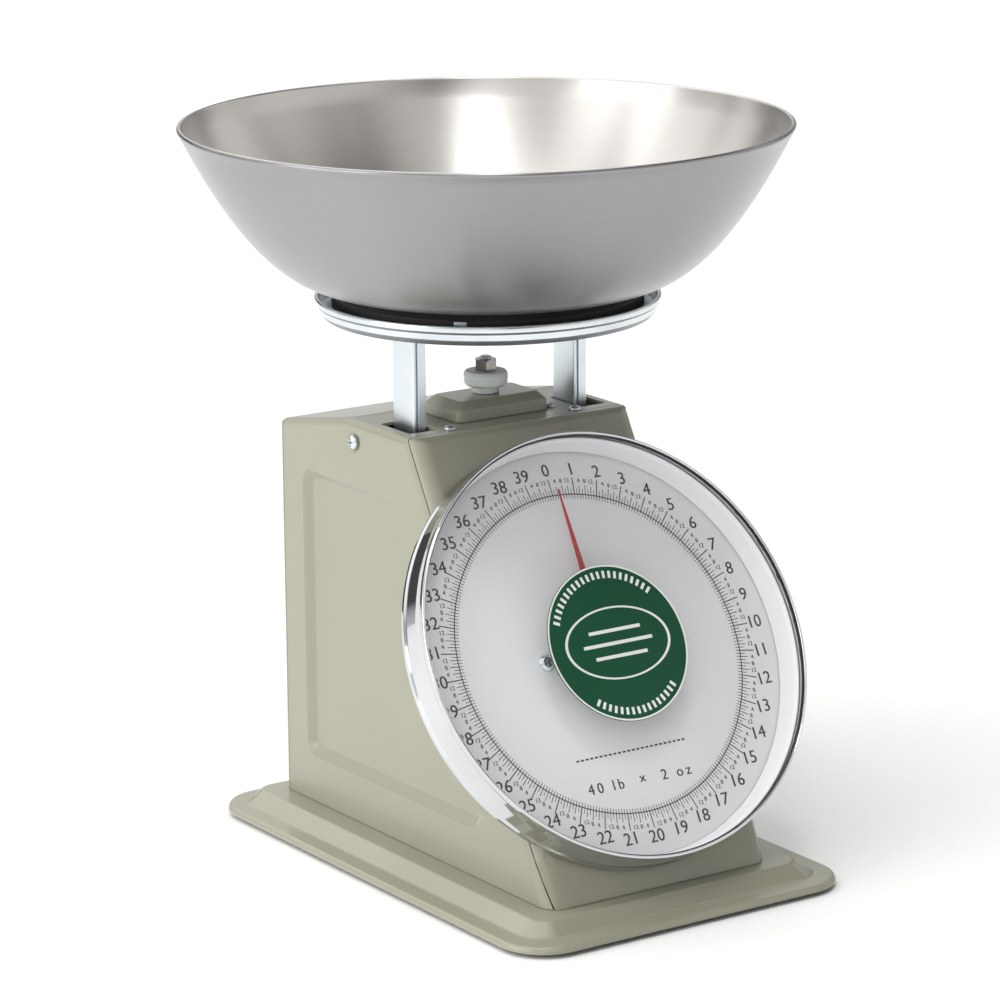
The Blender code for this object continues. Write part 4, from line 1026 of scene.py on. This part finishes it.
# ---- zero adjuster
def make_cover():
    """The adjuster's cover: a pressed box with soft edges."""
    low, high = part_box("adjuster_cover")
    path = fillet([(0.0, low.z), (0.7 * MM, high.z - 3.6 * MM, 1.2 * MM),
                   (4.6 * MM, high.z, 1.6 * MM), (11 * MM, high.z)], 6)
    rings = []
    for inset, z in path:
        radius = max(4.6 * MM - inset * 0.4, 1.5 * MM)
        ring = rounded_rectangle(low.x + inset, high.x - inset, low.y + inset, high.y - inset,
                                 radius, 8)
        rings.append([(x, y, z) for x, y in ring])
    cover = mesh_piece("adjuster_cap", skin(rings, cap_last=True), "enamel", sharp=40)
    thicken(cover, 1.4 * MM, 0.0)
    over_stud = Matrix.Translation((0, middle_of("zero_stud").y, high.z))
    drill(cover, 3.6 * MM, -5 * MM, 5 * MM, over_stud)
    place_piece(even_normals(cover), "housing", ["adjuster_cover"])
    screw = screw_form(2.6 * MM, 3 * MM)
    screw.name = "cover_screw_cross_head"
    screw.data.transform(Matrix.Translation((high.x + 3.4 * MM, AXIS_Y - 8.4 * MM, TOP_Z + GAP)))
    place_piece(screw, "housing")


WHEEL_AXIS = Matrix.Translation((0, middle_of("zero_wheel").y, 0))
STUD_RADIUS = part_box("zero_stud")[1].x - middle_of("zero_stud").x
WHEEL_RISE = 1.8 * MM
WHEEL_BORE = 3.2 * MM
WHEEL_HUB = 6.5 * MM
WHEEL_THICKNESS = 5.9 * MM
THREAD_PITCH = 1.0 * MM
THREAD_DEPTH = 0.5 * MM


def make_wheel():
    """The white wheel: a disc with soft edges on a narrow hub."""
    low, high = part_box("zero_wheel")
    radius = (high.y - low.y) / 2
    face = high.z - WHEEL_THICKNESS
    top = high.z + WHEEL_RISE
    wheel = fillet([
        (WHEEL_BORE, top), (radius - 1.0 * MM, top, 0.8 * MM), (radius, top - 1.6 * MM, 1.0 * MM),
        (radius - 0.3 * MM, face + 1.4 * MM, 1.0 * MM), (radius - 2.0 * MM, face, 0.6 * MM),
        (WHEEL_HUB, face, 0.5 * MM), (WHEEL_HUB, low.z), (WHEEL_BORE, low.z)], 5)
    piece = mesh_piece("zero_wheel_white", lathe(wheel, 96, True), "white_nylon", WHEEL_AXIS, 40)
    place_piece(piece, "zero_wheel", ["zero_wheel"])


def make_stud():
    """The threaded stud, its thread as close rings."""
    low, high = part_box("zero_stud")
    radius = STUD_RADIUS
    tip = high.z + WHEEL_RISE
    start = tip - 0.6 * MM
    profile = [(0, tip), (radius - 0.8 * MM, tip), (radius, start)]
    for turn in range(int((tip - low.z) / THREAD_PITCH) - 1):
        z = start - turn * THREAD_PITCH
        profile += [(radius, z - 0.15 * MM), (radius - THREAD_DEPTH, z - 0.5 * MM),
                    (radius, z - 0.85 * MM)]
    profile += [(radius, low.z), (0, low.z)]
    stud = mesh_piece("threaded_stud", lathe(profile, 32), "zinc_plate", WHEEL_AXIS, 30)
    place_piece(stud, "spring_hanger", ["zero_stud"])


def make_nut():
    """The hexagon nut on the stud, chamfered at both ends."""
    low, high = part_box("lock_nut")
    corner = (high.x - low.x) / 2
    bottom = low.z + WHEEL_RISE
    top = high.z + WHEEL_RISE
    hexagon = lathe([(0, bottom), (corner, bottom), (corner, top), (0, top)], 6)
    nut = mesh_piece("hex_nut", hexagon, "spring_steel", WHEEL_AXIS, 30)
    chamfer = fillet([
        (0, bottom), (corner * 0.9, bottom), (corner * 1.03, bottom + 0.9 * MM, 0.4 * MM),
        (corner * 1.03, top - 0.9 * MM, 0.4 * MM), (corner * 0.9, top), (0, top)], 4)
    carve(nut, mesh_piece("chamfer", lathe(chamfer, 64), None, WHEEL_AXIS), "INTERSECT")
    drill(nut, STUD_RADIUS + 0.12 * MM, bottom - MM, top + MM, WHEEL_AXIS)
    place_piece(nut, "spring_hanger", ["lock_nut"])


# ---- carried-over nodes
def finish_nodes():
    """Materials and softened edges for the CAD nodes that stay."""
    slots = {part["node"]: part["material_slot"] for part in frame["record"]["subparts"]}
    for name, obj in frame["nodes"].items():
        obj.data.materials.clear()
        obj.data.materials.append(MATERIALS[slots[name]])
        if obj.hide_render or name in ("spring_left", "spring_right"):
            continue
        soften(obj, 0.25 * MM)


# ---- floor, light and camera
CAMERA_AZIMUTH = -34.12
CAMERA_ELEVATION = 14.0
CAMERA_ROLL = -0.46
CAMERA_DISTANCE = 2.134
CAMERA_TARGET = Vector((-0.0003, 0.0029, 0.1749))
CAMERA_LENS = 155.85


def make_camera():
    """A long lens from the left and a little above."""
    azimuth = math.radians(CAMERA_AZIMUTH)
    elevation = math.radians(CAMERA_ELEVATION)
    back = Vector((math.sin(azimuth) * math.cos(elevation),
                   -math.cos(azimuth) * math.cos(elevation), math.sin(elevation)))
    data = bpy.data.cameras.new("camera")
    data.lens = CAMERA_LENS
    data.sensor_width = 36
    data.clip_end = 60
    camera = new_object("camera", data)
    place = Matrix.Translation(CAMERA_TARGET + back * CAMERA_DISTANCE)
    roll = Matrix.Rotation(math.radians(CAMERA_ROLL), 4, "Z")
    camera.matrix_world = place @ toward_z(back) @ roll
    bpy.context.scene.camera = camera


LIGHT_AIM = Vector((0, 0, 0.2))


def softbox(name, place, size, energy):
    """A rectangular area light that faces the object."""
    data = bpy.data.lights.new(name, "AREA")
    data.shape = "RECTANGLE"
    data.size, data.size_y = size
    data.energy = energy
    out = Vector(place) - LIGHT_AIM
    new_object(name, data).matrix_world = Matrix.Translation(place) @ toward_z(out)


FLOOR_RADIUS = 14.0
HORIZON = 0.32
MIDDLE = 0.62
ZENITH = 1.9
DARK_SIDE = (0.60, -0.70, 0.40)
DARK_LEVEL = 0.10
BRIGHT_SIDE = (-1.0, 0.15, 0.30)
BRIGHT_LEVEL = 1.2
MIRRORED_LEVEL = 0.75
PANEL_SCALE = 2.1
PANEL_LEVELS = (0.10, 1.10)


def make_floor():
    """A wide pale floor."""
    floor = bmesh.new()
    bmesh.ops.create_circle(floor, cap_ends=True, radius=FLOOR_RADIUS, segments=96)
    ground = mesh_piece("floor", floor, None)
    pale = surface("floor_paint", (0.84, 0.84, 0.84), (0.86, 0.86, 0.86), (0.55, 0.7),
                   tone=2.0, grain=300.0, depth=0.00001)
    ground.data.materials.append(pale)


def facing(tree, toward, side):
    """The cosine between the looked-up direction and a side of the studio."""
    item = add(tree, "ShaderNodeVectorMath", {1: Vector(side).normalized()},
               operation="DOT_PRODUCT")
    tree.links.new(toward, item.inputs[0])
    return item.outputs["Value"]


def make_world():
    """A graded surround for the even light, and broad light and dark panels for the metal."""
    world = bpy.data.worlds.new("studio")
    bpy.context.scene.world = world
    world.use_nodes = True
    tree = world.node_tree
    toward = add(tree, "ShaderNodeTexCoord").outputs["Generated"]
    parts = add(tree, "ShaderNodeSeparateXYZ")
    tree.links.new(toward, parts.inputs["Vector"])
    sky = ramp(tree, parts.outputs["Z"], (0.24, (HORIZON,) * 3), (0.5, (MIDDLE,) * 3),
               (1.0, (1.0,) * 3))
    shade = remap(tree, facing(tree, toward, DARK_SIDE), (0.40, 0.92),
                  (ZENITH, ZENITH * DARK_LEVEL))
    level = calculate(tree, "MULTIPLY", sky, shade)
    lobe = remap(tree, facing(tree, toward, BRIGHT_SIDE), (0.45, 0.92), (0.0, BRIGHT_LEVEL),
                 interpolation_type="SMOOTHSTEP")
    even = calculate(tree, "ADD", level, lobe)
    panels = remap(tree, noise(tree, toward, PANEL_SCALE, 1.0), (0.42, 0.54), PANEL_LEVELS)
    lifted = calculate(tree, "MAXIMUM", level, MIRRORED_LEVEL)
    mirrored = calculate(tree, "MULTIPLY", lifted, panels)
    choice = add(tree, "ShaderNodeMix", data_type="FLOAT")
    tree.links.new(add(tree, "ShaderNodeLightPath").outputs["Is Glossy Ray"], choice.inputs[0])
    tree.links.new(even, choice.inputs[2])
    tree.links.new(mirrored, choice.inputs[3])
    background = tree.nodes["Background"]
    background.inputs["Color"].default_value = (1.0, 0.995, 0.985, 1.0)
    tree.links.new(choice.outputs[0], background.inputs["Strength"])


def make_lights():
    """A large key light from the left and a small light over the bowl."""
    softbox("key_light", (-3.6, 0.3, 1.7), (2.6, 2.2), 38)
    softbox("bowl_light", (-0.42, -0.76, 2.6), (0.34, 0.34), 8)
    bpy.context.scene.view_settings.view_transform = "Standard"


make_bowl()
make_platform()
make_seat()
make_posts()
make_base()
make_feet()
make_housing()
make_bezel()
make_pan()
make_window()
make_graduations()
make_label()
make_pointer()
make_cover()
make_wheel()
make_stud()
make_nut()
make_screws()
finish_nodes()
make_camera()
make_floor()
make_world()
make_lights()
